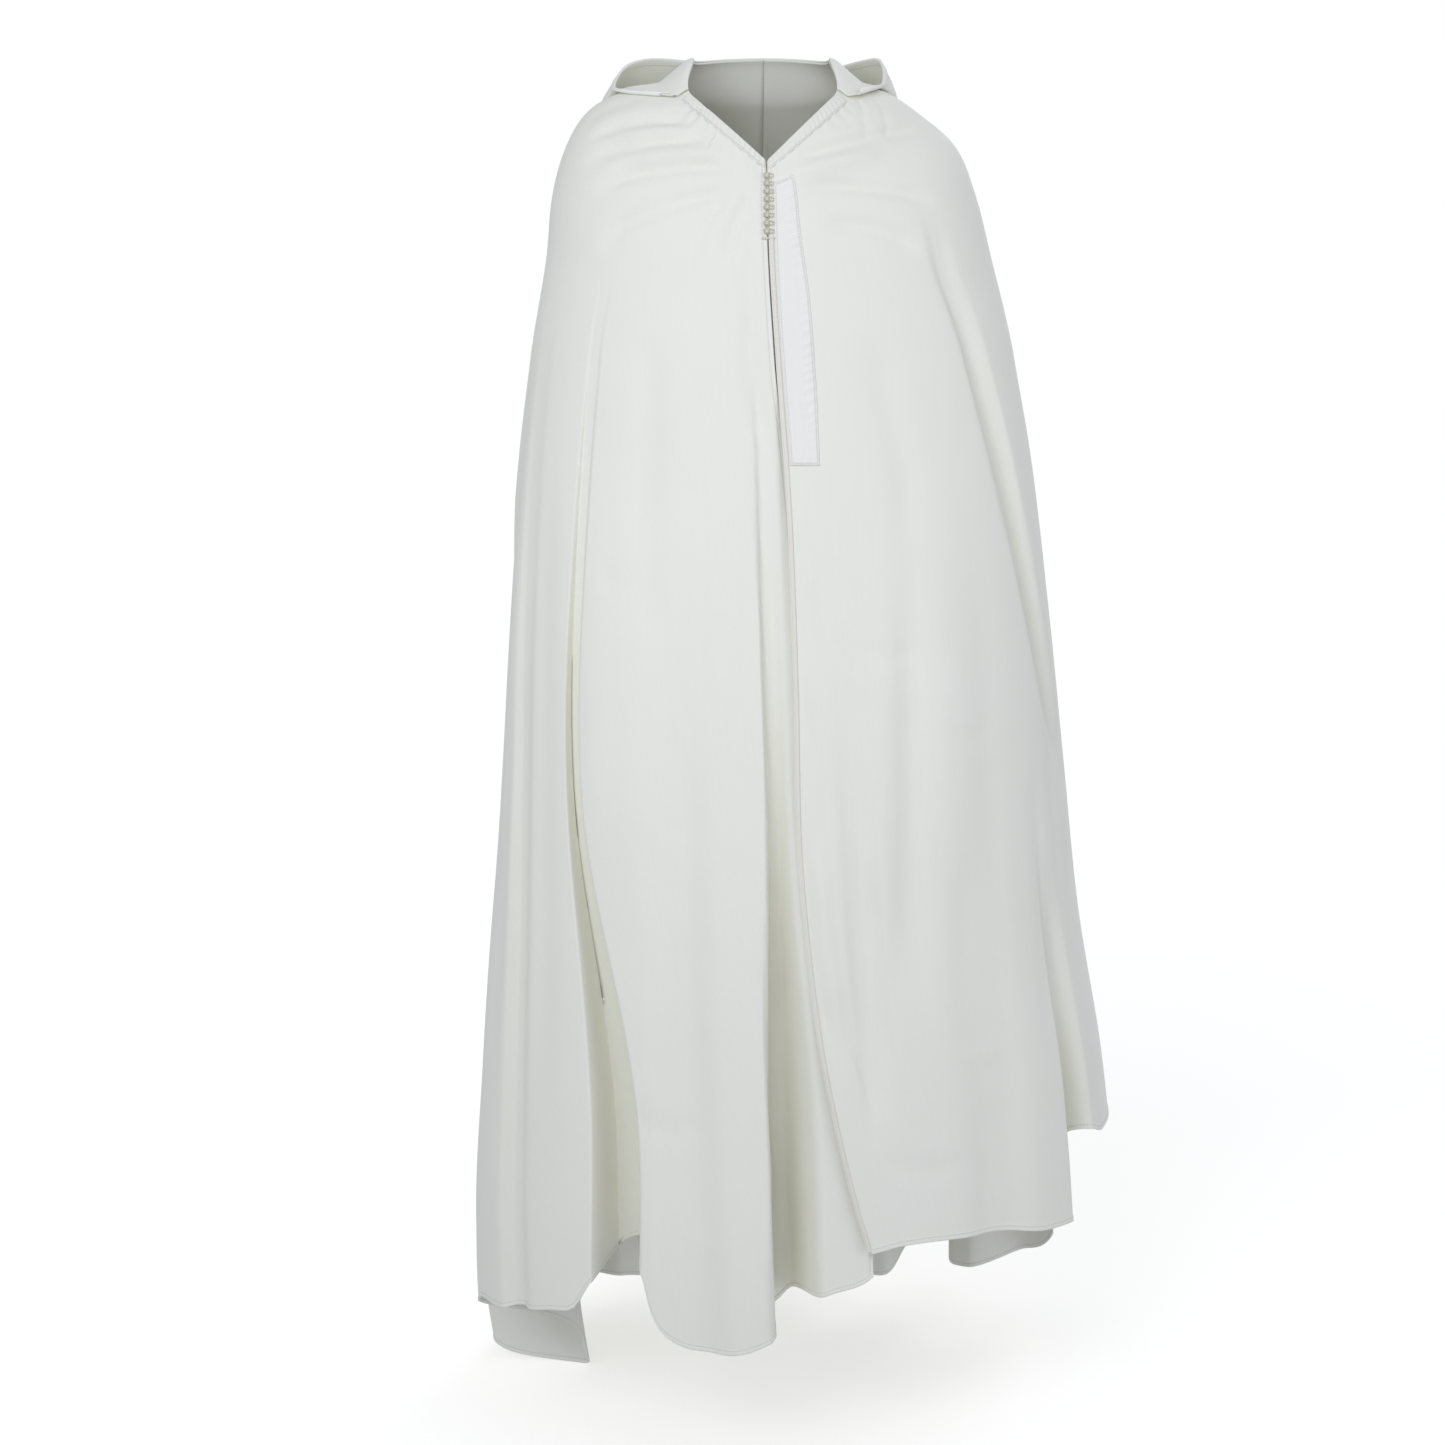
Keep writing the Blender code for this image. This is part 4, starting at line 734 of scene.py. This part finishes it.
def makeHalf(half):
    # the draped cloth with gathers below the band, its back edge on the centre seam and its hem turned up
    sign = sideSign[half]
    angles, levels = halfGrid(half)
    middle = drapedGrid(half, angles, levels)
    # gathers: short ripples below the neck band, uneven in height and dying out within 50 mm
    down, around = walkedAlong(middle, 0), walkedAlong(middle, 1)
    uneven = 0.55 + 0.45 * np.sin(around[:1] * 61.0 + 1.3) * np.sin(around[:1] * 23.0)
    ripple = np.sin(2.0 * math.pi * around[:1] / cloakCloth["gatherPitch"] + 0.9 * np.sin(around[:1] * 47.0))
    spread = smoothStep(down / cloakCloth["gatherStart"]) * np.exp(-((down / cloakCloth["gatherDepth"]) ** 2))
    spread = spread * smoothStep((cloakCloth["gatherTo"] - np.abs(angles)) / cloakCloth["gatherFade"])
    normals = gridNormals(middle) * sign
    middle = middle + normals * (cloakCloth["gatherRise"] * ripple * uneven * spread)[..., None]
    middle[:, -1, 0] = sign * cloakCloth["backSeamGap"] / 2
    normals = gridNormals(middle) * sign
    normals[:, [0, -1], 0] = 0.0
    normals = normals / np.linalg.norm(normals, axis=-1, keepdims=True)
    uv = clothUv(middle)
    up = uv[-1:, :, 1] - uv[..., 1]  # cloth from the hem
    fromSide = uv[..., 0]  # and from the front edge
    nearHem = up < fromSide
    fromEdge = np.where(nearHem, up, fromSide)
    alongEdge = np.where(nearHem, uv[..., 0], uv[..., 1])
    soft = cloakCloth["hemSoft"]
    turned = cloakCloth["hemRise"] * smoothStep((cloakCloth["hemFold"] + soft - up) / soft)
    wall = cloakCloth["wall"] / 2
    piece = wallFrom(f"cloak{half.capitalize()}Cloth", middle, normals, wall + turned, -wall, crepe, uv,
                     {"fromEdge": fromEdge, "alongEdge": alongEdge}, flip=half == "right")
    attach(piece, "root")
    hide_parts(f"cloak_{half}")
    area = uv[..., 0][:, -1].mean() * uv[..., 1][-1].mean()
    print(f"cloak {half}: {len(piece.data.polygons)} faces, about {area:.2f} square metres round by down")
    return piece


# Strips that lie on the cloth near the front edge

def stripGrid(half, levels, distances):
    # points of the draped cloth at distances from the front edge, a row for each level, and their normals
    angles = anglesBeside(half, levels, distances)
    middle = drapedGrid(half, angles, np.repeat(levels[:, None], angles.shape[1], axis=1))
    normals = gridNormals(middle) * sideSign[half]
    return middle, normals


def levelsBetween(half, zTop, zBottom, count):  # levels whose front edge passes evenly spaced heights
    return np.array([levelAt(half, 3.0, z) for z in np.linspace(zTop, zBottom, count)])


facing = {
    "topZ": -0.110, "bottomZ": -0.413, "rows": 170, "columns": 26, "from": 0.0070,
    "width": ((-0.110, 0.024), (-0.165, 0.028), (-0.230, 0.034), (-0.320, 0.035), (-0.413, 0.032)),
    "lift": 0.0013, "thick": 0.0012, "crowd": 0.9, "flatEdge": 0.0025,
    "puckerPitch": 0.0105, "endPitch": 0.009, "puckerRise": 0.0010, "seamIn": 0.006,  # the seams' distance in
}


def makeFacing():
    # a strip that lies on the front: its thickness, less at its stitched edges, and puckers beside its seams
    heights = np.linspace(facing["topZ"], facing["bottomZ"], facing["rows"])
    levels = levelsBetween("left", facing["topZ"], facing["bottomZ"], facing["rows"])
    widths = throughPairs(facing["width"], heights)
    across = np.linspace(0.0, 1.0, facing["columns"]) ** facing["crowd"]
    distances = facing["from"] + widths[:, None] * across
    middle, normals = stripGrid("left", levels, distances)
    uv = clothUv(middle)
    fromSides = np.minimum(uv[..., 0], uv[:, -1:, 0] - uv[..., 0])
    fromEnds = np.minimum(uv[..., 1], uv[-1:, :, 1] - uv[..., 1])
    fromEdge = np.minimum(fromSides, fromEnds)
    alongEdge = np.where(fromSides < fromEnds, uv[..., 1], uv[..., 0])
    # puckers: the cloth swells between stitches, an uneven sine along each seam that dies out over 12 mm
    seamIn = facing["seamIn"]
    outer, below = uv[:, -1:, 0] - uv[..., 0], uv[-1:, :, 1] - uv[..., 1]
    pull = np.sin(2 * math.pi * uv[..., 1] / facing["puckerPitch"] + 1.7 * np.sin(uv[..., 1] * 90.0))
    pull = pull * np.exp(-((outer - seamIn) / seamIn) ** 2) * (0.6 + 0.4 * np.sin(uv[..., 1] * 37.0))
    low = np.sin(2 * math.pi * uv[..., 0] / facing["endPitch"]) * np.exp(-((below - seamIn) / seamIn) ** 2)
    rise = facing["puckerRise"] * np.maximum(pull + 0.6 * low, -0.25)
    flat = smoothStep(fromEdge / facing["flatEdge"])  # stitched down at its edges
    outerFace = facing["lift"] + facing["thick"] * (0.45 + 0.55 * flat) + rise * flat
    piece = wallFrom("frontFacingCloth", middle, normals, outerFace, facing["lift"], facingCrepe, uv,
                     {"fromEdge": fromEdge, "alongEdge": alongEdge})
    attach(piece, "root")
    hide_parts("front_facing")
    print("front facing made")
    return piece


neckBand = {
    # degrees from the front, and how wide the band is there
    "right": ((0.0, 0.0105), (30, 0.0115), (55, 0.0125)), "left": ((0.0, 0.0120), (30, 0.0150), (55, 0.0165)),
    "from": 0.9, "to": 53.0, "downLevels": 1.6, "rows": 14, "columns": 150,
    "lift": 0.0013, "thick": 0.0012, "puckerPitch": 0.0072, "puckerRise": 0.0006,
}


def makeNeckBand(half):
    # a strip along the neckline: its thickness is a crown across it, with an uneven sine of puckers along it
    sign = sideSign[half]
    start = float(edgeAngle(half, np.array([0.0]))[0]) + sign * neckBand["from"]
    angles = np.linspace(start, sign * neckBand["to"], neckBand["columns"])
    widths = throughPairs(neckBand[half], np.abs(angles))
    levels = np.linspace(0.0, neckBand["downLevels"], 200)
    walked = walkedAlong(cloakPoint(half, angles[None, :], levels[:, None]), 0)
    shares = np.linspace(0.0, 1.0, neckBand["rows"])
    reach = np.array([np.interp(shares * width, walked[:, i], levels) for i, width in enumerate(widths)]).T
    middle = drapedGrid(half, np.broadcast_to(angles, reach.shape), reach)
    normals = gridNormals(middle) * sign
    uv = clothUv(middle)
    fromEdge = uv[-1:, :, 1] - uv[..., 1]
    ripple = np.sin(2 * math.pi * uv[..., 0] / neckBand["puckerPitch"] + 1.2 * np.sin(uv[..., 0] * 71.0))
    ripple = ripple * (0.6 + 0.4 * np.sin(uv[..., 0] * 33.0)) * np.sin(math.pi * shares[:, None]) ** 0.7
    crown = np.sin(math.pi * np.clip(shares[:, None], 0.03, 0.97)) ** 0.35
    outerFace = neckBand["lift"] + neckBand["thick"] * (0.35 + 0.65 * crown) + neckBand["puckerRise"] * ripple
    piece = wallFrom(f"neckBand{half.capitalize()}Cloth", middle, normals, outerFace, neckBand["lift"],
                     bandCrepe, uv, {"fromEdge": fromEdge, "alongEdge": uv[..., 0]}, flip=half == "right")
    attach(piece, "root")
    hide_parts(f"neck_band_{half}")
    print(f"neck band {half} made")
    return piece


braid = {
    "topZ": -0.168, "endLevel": 0.0015, "rows": 1150, "columns": 7, "from": 0.0010, "width": 0.0046,
    "lift": 0.0013, "thick": 0.0013, "knotPitch": 0.0046,
}


def makeBraid():
    # a strip down the left front edge, from below the fastening to the hem
    first = levelAt("left", 1.0, braid["topZ"])
    span = cloakShape["lastRing"] + 1.0 - braid["endLevel"] - first
    levels = np.linspace(0.0, 1.0, braid["rows"]) * span + first
    shares = np.linspace(0.0, 1.0, braid["columns"])
    coarse = np.linspace(0, 1, 160) * (levels[-1] - levels[0]) + levels[0]
    marks = anglesBeside("left", coarse, braid["from"] + braid["width"] * shares)
    angles = np.stack([np.interp(levels, coarse, column) for column in marks.T], axis=1)
    middle = drapedGrid("left", angles, np.repeat(levels[:, None], len(shares), axis=1))
    normals = gridNormals(middle)
    uv = clothUv(middle)
    # knots: each is a low dome, half a sine along the braid times a half circle across it
    dome = np.sqrt(np.maximum(1.0 - (2.0 * shares - 1.0) ** 2, 0.0))
    knot = np.abs(np.sin(math.pi * uv[:, 3:4, 1] / braid["knotPitch"])) ** 0.6
    outerFace = braid["lift"] + braid["thick"] * (0.15 + 0.40 * dome + 0.45 * dome * knot)
    piece = wallFrom("edgeBraidCord", middle, normals, outerFace, braid["lift"], braidCord, uv)
    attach(piece, "root")
    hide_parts("edge_braid")
    print("edge braid made")
    return piece


# Fastening

fastening = {
    "count": 8, "topZ": -0.1010, "pitch": 0.0086, "radius": 0.0028, "stand": 0.0005,
    "ballRows": 22, "ballColumns": 36,
    "cordRadius": 0.0007, "cordRound": 0.0044, "cordSides": 10,  # the cord and how far it is round
    "tail": 0.0040, "tailGap": 0.0003, "opening": 50, "turnSteps": 8, "pathSteps": 64,
    "barX": 0.0015, "barZ": -0.1690, "barLength": 0.0150, "barWidth": 0.0024, "barLift": 0.0011,
    "barFlat": 0.7, "barThread": 0.0008, "barRows": 70, "barSides": 12,
}


def frontY(x, z):  # where the middle of the front cloth is, beside its edge
    level = levelAt("left", 2.0, z)
    angles = np.linspace(-6.0, 16.0, 400)
    ring = cloakPoint("left", angles, np.full_like(angles, level))
    return float(np.interp(x, ring[:, 0], ring[:, 1]))


def tubeFrom(path, radius, sides):
    # rings square to a path: its points plus radius times (out cos turn + other sin turn)
    steps = np.gradient(path, axis=0)
    steps = steps / np.linalg.norm(steps, axis=1, keepdims=True)
    out = np.cross(steps, np.array([0.0, 1.0, 0.02]))
    out = out / np.linalg.norm(out, axis=1, keepdims=True)
    other = np.cross(steps, out)
    turn = np.linspace(0.0, 2.0 * math.pi, sides, endpoint=False)[None, :, None]
    radius = np.broadcast_to(radius, (len(path), sides))[..., None]
    return path[:, None] + radius * (out[:, None] * np.cos(turn) + other[:, None] * np.sin(turn))


def closedTube(name, rings, material):  # a skin over rings of points, closed by a fan at each end
    count, sides = rings.shape[:2]
    ends = np.stack([rings[0].mean(axis=0), rings[-1].mean(axis=0)])
    index = np.arange(count * sides).reshape(count, sides)
    nextOne = np.roll(index, -1, axis=1)
    body = np.stack([index[:-1], nextOne[:-1], nextOne[1:], index[1:]], axis=-1).reshape(-1, 4)
    first, last = count * sides, count * sides + 1
    caps = np.concatenate([
        np.stack([nextOne[0], index[0], np.full(sides, first), np.full(sides, first)], axis=-1),
        np.stack([index[-1], nextOne[-1], np.full(sides, last), np.full(sides, last)], axis=-1)])
    around = np.broadcast_to(np.linspace(0.0, fastening["cordRound"], sides), (count, sides))
    uv = np.stack([around, walkedAlong(rings, 0)], axis=-1)
    uv = np.concatenate([uv.reshape(-1, 2), uv[[0, -1], 0]])
    mesh = bpy.data.meshes.new(name)
    faces = body.tolist() + [row[:3] for row in caps.tolist()]
    mesh.from_pydata(np.concatenate([rings.reshape(-1, 3), ends]).tolist(), [], faces)
    mesh.update()
    layer = mesh.uv_layers.new(name="clothMetres")
    corners = np.empty(len(mesh.loops), np.int32)
    mesh.loops.foreach_get("vertex_index", corners)
    layer.data.foreach_set("uv", uv[corners].astype(np.float32).ravel())
    mesh.polygons.foreach_set("use_smooth", np.ones(len(mesh.polygons), bool))
    mesh.materials.append(material)
    piece = bpy.data.objects.new(name, mesh)
    bpy.context.scene.collection.objects.link(piece)
    return piece


def makeButton(number, z):
    # a ball whose radius swells over crossing strands: the product of two slanted cosines
    radius = fastening["radius"]
    wall = cloakCloth["wall"] / 2
    centre = np.array([0.0, frontY(0.0, z) - wall - fastening["stand"] - radius, z])
    polar = np.linspace(0.02, math.pi - 0.02, fastening["ballRows"])[:, None]
    around = np.linspace(0.0, 2.0 * math.pi, fastening["ballColumns"], endpoint=False)[None, :]
    weave = np.cos(3.0 * around + 4.0 * polar) * np.cos(3.0 * around - 4.0 * polar)
    swell = radius * (0.93 + 0.09 * np.sign(weave) * np.abs(weave) ** 0.6)
    ball = np.stack([np.sin(polar) * np.cos(around), np.sin(polar) * np.sin(around),
                     np.cos(polar) * np.ones_like(around)], axis=-1)
    piece = closedTube(f"knotButton{number}", (centre + ball * swell[..., None])[::-1], knotCord)
    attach(piece, "root")
    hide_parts(f"button_{number}")
    return piece


def makeLoop(number, z):
    # the cord runs round the foot of its button and back; its radius swells with two strands that wind along
    # it, and it touches the button where reach squared is (radius + stand + cord) squared less drop squared
    cord, sides = fastening["cordRadius"], fastening["cordSides"]
    opening = fastening["opening"]
    turns = np.linspace(math.radians(opening), math.radians(360 - opening), fastening["turnSteps"])
    drop = fastening["radius"] - cord
    reach = math.sqrt((fastening["radius"] + fastening["stand"] + cord) ** 2 - drop**2)
    reach = reach / math.cos((turns[1] - turns[0]) / 2)
    tailZ = cord + fastening["tailGap"]
    route = [(reach * math.cos(turn), reach * math.sin(turn)) for turn in turns]
    route = [(reach + fastening["tail"], tailZ)] + route + [(reach + fastening["tail"], -tailZ)]
    stand = cloakCloth["wall"] / 2 + fastening["stand"] + cord
    path = curveThrough([(x, frontY(x, z + up) - stand, z + up) for x, up in route], fastening["pathSteps"])
    along = np.linspace(0.0, 1.0, len(path))[:, None]
    turn = np.linspace(0.0, 2.0 * math.pi, sides, endpoint=False)[None, :]
    radius = cord * (0.93 + 0.09 * np.cos(2.0 * turn + along * 60.0))
    piece = closedTube(f"cordLoop{number}", tubeFrom(path, radius, sides), knotCord)
    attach(piece, "root")
    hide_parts(f"loop_{number}")
    return piece


def makeEndBar():
    # a satin stitched bar below the last button: a flat capsule ridged by its threads
    half = fastening["barLength"] / 2
    at = np.linspace(-1.0, 1.0, fastening["barRows"])
    lift = cloakCloth["wall"] / 2 + fastening["barLift"]
    path = np.array([(x, frontY(x, fastening["barZ"]) - lift, fastening["barZ"])
                     for x in fastening["barX"] + at * half])
    taper = np.sqrt(np.maximum(1.0 - np.abs(at) ** 6, 0.02))[:, None]
    ridges = 1.0 + 0.06 * np.cos(at[:, None] * half * 2 * math.pi / fastening["barThread"])
    rings = tubeFrom(path, 0.5 * fastening["barWidth"] * taper * ridges, fastening["barSides"])
    rings[..., 1] = path[:, None, 1] + (rings[..., 1] - path[:, None, 1]) * fastening["barFlat"]
    piece = closedTube("closureEndBar", rings, knotCord)
    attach(piece, "root")
    return piece


# Hood

hoodShape = {
    "start": 56.0, "columns": 196, "innerRows": 34, "outerRows": 76,
    "wall": 0.0020, "seamLift": 0.0026, "lift": 0.0036, "liftLevels": 0.25,
    "hemFold": 0.0085, "hemRise": 0.0009, "hemSoft": 0.0012, "stitchShift": 0.0032,
    "innerBias": 1.35, "step": 0.004, "foldReach": 0.16, "foldStand": 0.05, "rimReach": 0.16, "rimDrop": 0.34,
    "table": (
        ("angle", "bottomLevel", "rimX", "rimY", "rimZ", "bulge"),
        (-56, 0.60, -0.106, -0.066, -0.0065, 0.000), (-66, 1.15, -0.133, -0.056, -0.0038, 0.000),
        (-78, 1.70, -0.160, -0.036, 0.0006, 0.001), (-90, 2.10, -0.171, -0.004, 0.010, 0.002),
        (-104, 2.60, -0.160, 0.040, 0.036, 0.004), (-120, 3.30, -0.135, 0.078, 0.050, 0.007),
        (-140, 4.85, -0.090, 0.114, 0.053, 0.012), (-150, 5.75, -0.066, 0.128, 0.051, 0.017),
        (-160, 6.60, -0.042, 0.138, 0.049, 0.021), (-170, 7.015, -0.021, 0.145, 0.046, 0.024),
        (-180, 7.055, 0.000, 0.147, 0.045, 0.025), (-190, 7.015, 0.021, 0.145, 0.044, 0.024),
        (-200, 6.60, 0.040, 0.138, 0.044, 0.021), (-210, 5.75, 0.062, 0.128, 0.045, 0.017),
        (-220, 4.85, 0.082, 0.113, 0.045, 0.012), (-240, 3.30, 0.110, 0.076, 0.047, 0.007),
        (-256, 2.40, 0.130, 0.036, 0.044, 0.004), (-270, 1.90, 0.134, -0.004, 0.026, 0.002),
        (-282, 1.50, 0.130, -0.036, 0.008, 0.001), (-294, 1.10, 0.118, -0.056, 0.002, 0.000),
        (-304, 0.60, 0.104, -0.066, -0.002, 0.000),
    ),
    # creases of its outer layer: width and depth in mm, then points, each its angle and its share of the way
    # from the lower fold up to the rim
    "creases": (
        (13, -3.6, (-128, 0.86), (-140, 0.60), (-152, 0.34)),
        (12, -3.0, (-172, 0.90), (-169, 0.62), (-171, 0.36)),
        (10, 2.0, (-158, 0.82), (-160, 0.62), (-164, 0.44)),
        (14, -4.0, (-226, 0.88), (-214, 0.62), (-204, 0.38)),
        (11, -2.6, (-196, 0.86), (-193, 0.66), (-190, 0.50)),
        (9, -2.0, (-102, 0.80), (-112, 0.60), (-124, 0.44)),
        (9, -2.0, (-256, 0.80), (-246, 0.60), (-236, 0.44)),
        (9, -1.6, (-148, 0.30), (-162, 0.22), (-178, 0.20)),
        (8, -1.4, (-184, 0.34), (-196, 0.28), (-208, 0.30)),
        (7, -1.6, (-84, 0.70), (-94, 0.52), (-104, 0.44)),
        (7, -1.6, (-278, 0.70), (-268, 0.52), (-258, 0.44)),
    ),
}


def makeHood():
    # one wall of two layers: the inner one lies on the cloak, a small lift above it, from the neck down to
    # the lower fold, and the outer one turns up from there to the free rim
    table = hoodShape["table"]
    angles = np.linspace(-hoodShape["start"], -360.0 + hoodShape["start"], hoodShape["columns"])

    def value(name):
        return throughRows(tableColumn(table, "angle"), tableColumn(table, name), angles)

    shares = np.linspace(0.0, 1.0, hoodShape["innerRows"])[:, None] ** hoodShape["innerBias"]
    levels = value("bottomLevel")[None, :] * shares
    turned = np.broadcast_to(wrapped(angles), levels.shape)
    step = hoodShape["step"]

    def near(addAngle, addLevel):  # the cloak's point there, of the right half where the angle is negative
        spot = turned + addAngle, np.maximum(levels + addLevel, 0.0)
        return np.where((turned < 0)[..., None], cloakPoint("right", *spot), cloakPoint("left", *spot))

    outwardNormal = np.cross(near(0, step) - near(0, -step), near(0.25, 0) - near(-0.25, 0))
    outwardNormal = outwardNormal / np.linalg.norm(outwardNormal, axis=-1, keepdims=True)
    rise = hoodShape["lift"] - hoodShape["seamLift"]
    lift = hoodShape["seamLift"] + rise * smoothStep(levels / hoodShape["liftLevels"])
    inner = near(0, 0) + outwardNormal * lift[..., None]
    # outer layer: a Bezier curve that leaves the lower fold down the cloth and rises to the rim, swelled by
    # bulge times half a sine
    rim = np.stack([value("rimX"), value("rimY"), value("rimZ")], axis=-1)
    down = inner[-1] - inner[-2]
    down = down / np.linalg.norm(down, axis=-1, keepdims=True)
    turns = np.radians(angles)
    outward = np.stack([np.sin(turns), -np.cos(turns), np.zeros_like(turns)], axis=-1)
    span = np.linalg.norm(rim - inner[-1], axis=-1, keepdims=True)
    first = inner[-1] + down * hoodShape["foldReach"] * span
    first = first + outwardNormal[-1] * hoodShape["foldStand"] * span
    second = rim + outward * hoodShape["rimReach"] * span - np.array([0.0, 0.0, hoodShape["rimDrop"]]) * span
    along = np.linspace(0.0, 1.0, hoodShape["outerRows"] + 1)[1:, None, None]
    outer = (inner[-1] * (1 - along) ** 3 + first * 3 * along * (1 - along) ** 2
             + second * 3 * along**2 * (1 - along) + rim * along**3)
    outer = outer + outward * value("bulge")[:, None] * np.sin(math.pi * along)
    grid = np.concatenate([inner, outer])
    normals = gridNormals(grid)
    # creases on the outer layer
    lines = []
    for width, depth, *marks in hoodShape["creases"]:
        columns = np.interp([-mark[0] for mark in marks], -angles, np.arange(len(angles)))
        rows = np.array([mark[1] for mark in marks]) * (hoodShape["outerRows"] - 1)
        spots = outer[rows.astype(int), columns.astype(int)]
        lines.append((curveThrough(spots, 20), width / 1000.0, depth / 1000.0))
    creased = np.zeros(grid.shape[:2])
    creased[hoodShape["innerRows"]:] = creaseDepth(outer, lines)
    grid = grid + normals * creased[..., None]
    normals = gridNormals(grid)
    uv = clothUv(grid)
    fromRim = uv[-1:, :, 1] - uv[..., 1]
    soft = hoodShape["hemSoft"]
    turnedHem = hoodShape["hemRise"] * smoothStep((hoodShape["hemFold"] + soft - fromRim) / soft)
    wall = hoodShape["wall"] / 2
    piece = wallFrom("hoodCloth", grid, normals, wall + turnedHem, -wall, crepe, uv,
                     {"fromEdge": fromRim - hoodShape["stitchShift"], "alongEdge": uv[..., 0]})
    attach(piece, "root")
    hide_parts("hood")
    print(f"hood: {len(piece.data.polygons)} faces")
    return piece


halves = {half: makeHalf(half) for half in ("right", "left")}
bands = {half: makeNeckBand(half) for half in ("right", "left")}
facingPiece = makeFacing()
braidPiece = makeBraid()
buttonsAndLoops = []
for number in range(1, fastening["count"] + 1):
    height = fastening["topZ"] - fastening["pitch"] * (number - 1)
    buttonsAndLoops += [makeButton(number, height), makeLoop(number, height)]
endBar = makeEndBar()
print("fastening made:", len(buttonsAndLoops) + 1, "pieces")
hood = makeHood()


# Stage, light and camera

stage = {
    "floorZ": cadBox[0][2] - 0.001, "floorHalf": 40.0, "floorHex": "c9c8bd", "floorGlow": 0.60,
    # the sky lights the cloth, and the back is what is seen behind it
    "skyHex": "ecefff", "skyStrength": 0.54, "backHex": "ffffff",
    # name, azimuth from the front with + to the viewer's right, height and spread in degrees, strength, hex
    "lights": (
        ("keyLight", -34.0, 38.0, 30.0, 0.60, "edf0ff"),
        ("fillLight", 60.0, 2.0, 50.0, 0.68, "eceeff"),
        ("backLight", 148.0, 30.0, 30.0, 0.80, "ecefff"),
    ),
    # name, place, aim, size, watts, hex
    "softbox": ("frontSoftbox", (-0.30, -1.50, -0.02), (-0.03, -0.20, -0.48), 0.8, 7.5, "edf0ff"),
}


def makeStage():
    # a white studio: floor just under the hem, an even sky, three wide suns and one softbox before the chest
    half = stage["floorHalf"]
    corners = [(-half, -half, stage["floorZ"]), (half, -half, stage["floorZ"]),
               (half, half, stage["floorZ"]), (-half, half, stage["floorZ"])]
    mesh = bpy.data.meshes.new("studioFloor")
    mesh.from_pydata(corners, [], [(0, 1, 2, 3)])
    paper = bpy.data.materials.new("mattBackgroundPaper")
    paper.use_nodes = True
    shader = paper.node_tree.nodes["Principled BSDF"]
    shader.inputs["Base Color"].default_value = linearFrom(stage["floorHex"])
    shader.inputs["Roughness"].default_value = 0.95
    shader.inputs["Specular IOR Level"].default_value = 0.1
    shader.inputs["Emission Color"].default_value = (1.0, 1.0, 1.0, 1.0)
    shader.inputs["Emission Strength"].default_value = stage["floorGlow"]
    mesh.materials.append(paper)
    floor = bpy.data.objects.new("studioFloor", mesh)
    floor.visible_diffuse = False  # the floor takes shadows but throws no light back up on the cloth
    bpy.context.scene.collection.objects.link(floor)
    world = bpy.data.worlds.new("studioWorld")
    world.use_nodes = True
    tree = world.node_tree
    sky = tree.nodes["Background"]
    sky.inputs["Color"].default_value = linearFrom(stage["skyHex"])
    sky.inputs["Strength"].default_value = stage["skyStrength"]
    back = addNode(tree, "ShaderNodeBackground", None,
                   {"Color": linearFrom(stage["backHex"]), "Strength": 1.0})
    ray = addNode(tree, "ShaderNodeLightPath")
    both = addNode(tree, "ShaderNodeMixShader", None, None,
                   {0: ray.outputs["Is Camera Ray"], 1: sky.outputs["Background"],
                    2: back.outputs["Background"]})
    tree.links.new(both.outputs["Shader"], tree.nodes["World Output"].inputs["Surface"])
    bpy.context.scene.world = world
    for name, azimuth, height, spread, strength, hexColour in stage["lights"]:
        light = bpy.data.lights.new(name, "SUN")
        light.angle, light.energy = math.radians(spread), strength
        light.color = linearFrom(hexColour)[:3]
        lamp = bpy.data.objects.new(name, light)
        lamp.rotation_euler = (math.radians(90.0 - height), 0.0, math.radians(azimuth))
        bpy.context.scene.collection.objects.link(lamp)
    name, place, aim, size, watts, hexColour = stage["softbox"]
    light = bpy.data.lights.new(name, "AREA")
    light.size, light.energy, light.color = size, watts, linearFrom(hexColour)[:3]
    lamp = bpy.data.objects.new(name, light)
    lamp.location = place
    lamp.rotation_euler = (Vector(aim) - Vector(place)).to_track_quat("-Z", "Y").to_euler()
    lamp.visible_camera = False
    bpy.context.scene.collection.objects.link(lamp)
    bpy.context.scene.view_settings.view_transform = "Standard"  # near-white cloth keeps its own tones


photoCamera = {
    "sensor": 36.0, "lens": 53.99, "clipEnd": 60.0,  # mm, mm and metres
    "place": (-0.0483, -2.55, -0.3199), "tilt": 81.0,  # 90 would be level
}


def makeCamera():  # where the photo was taken from
    camera = bpy.data.cameras.new("photoCamera")
    camera.sensor_width, camera.lens = photoCamera["sensor"], photoCamera["lens"]
    camera.clip_end = photoCamera["clipEnd"]
    body = bpy.data.objects.new("photoCamera", camera)
    body.location = photoCamera["place"]
    body.rotation_euler = (math.radians(photoCamera["tilt"]), 0.0, 0.0)
    bpy.context.scene.collection.objects.link(body)
    bpy.context.scene.camera = body


makeStage()
makeCamera()
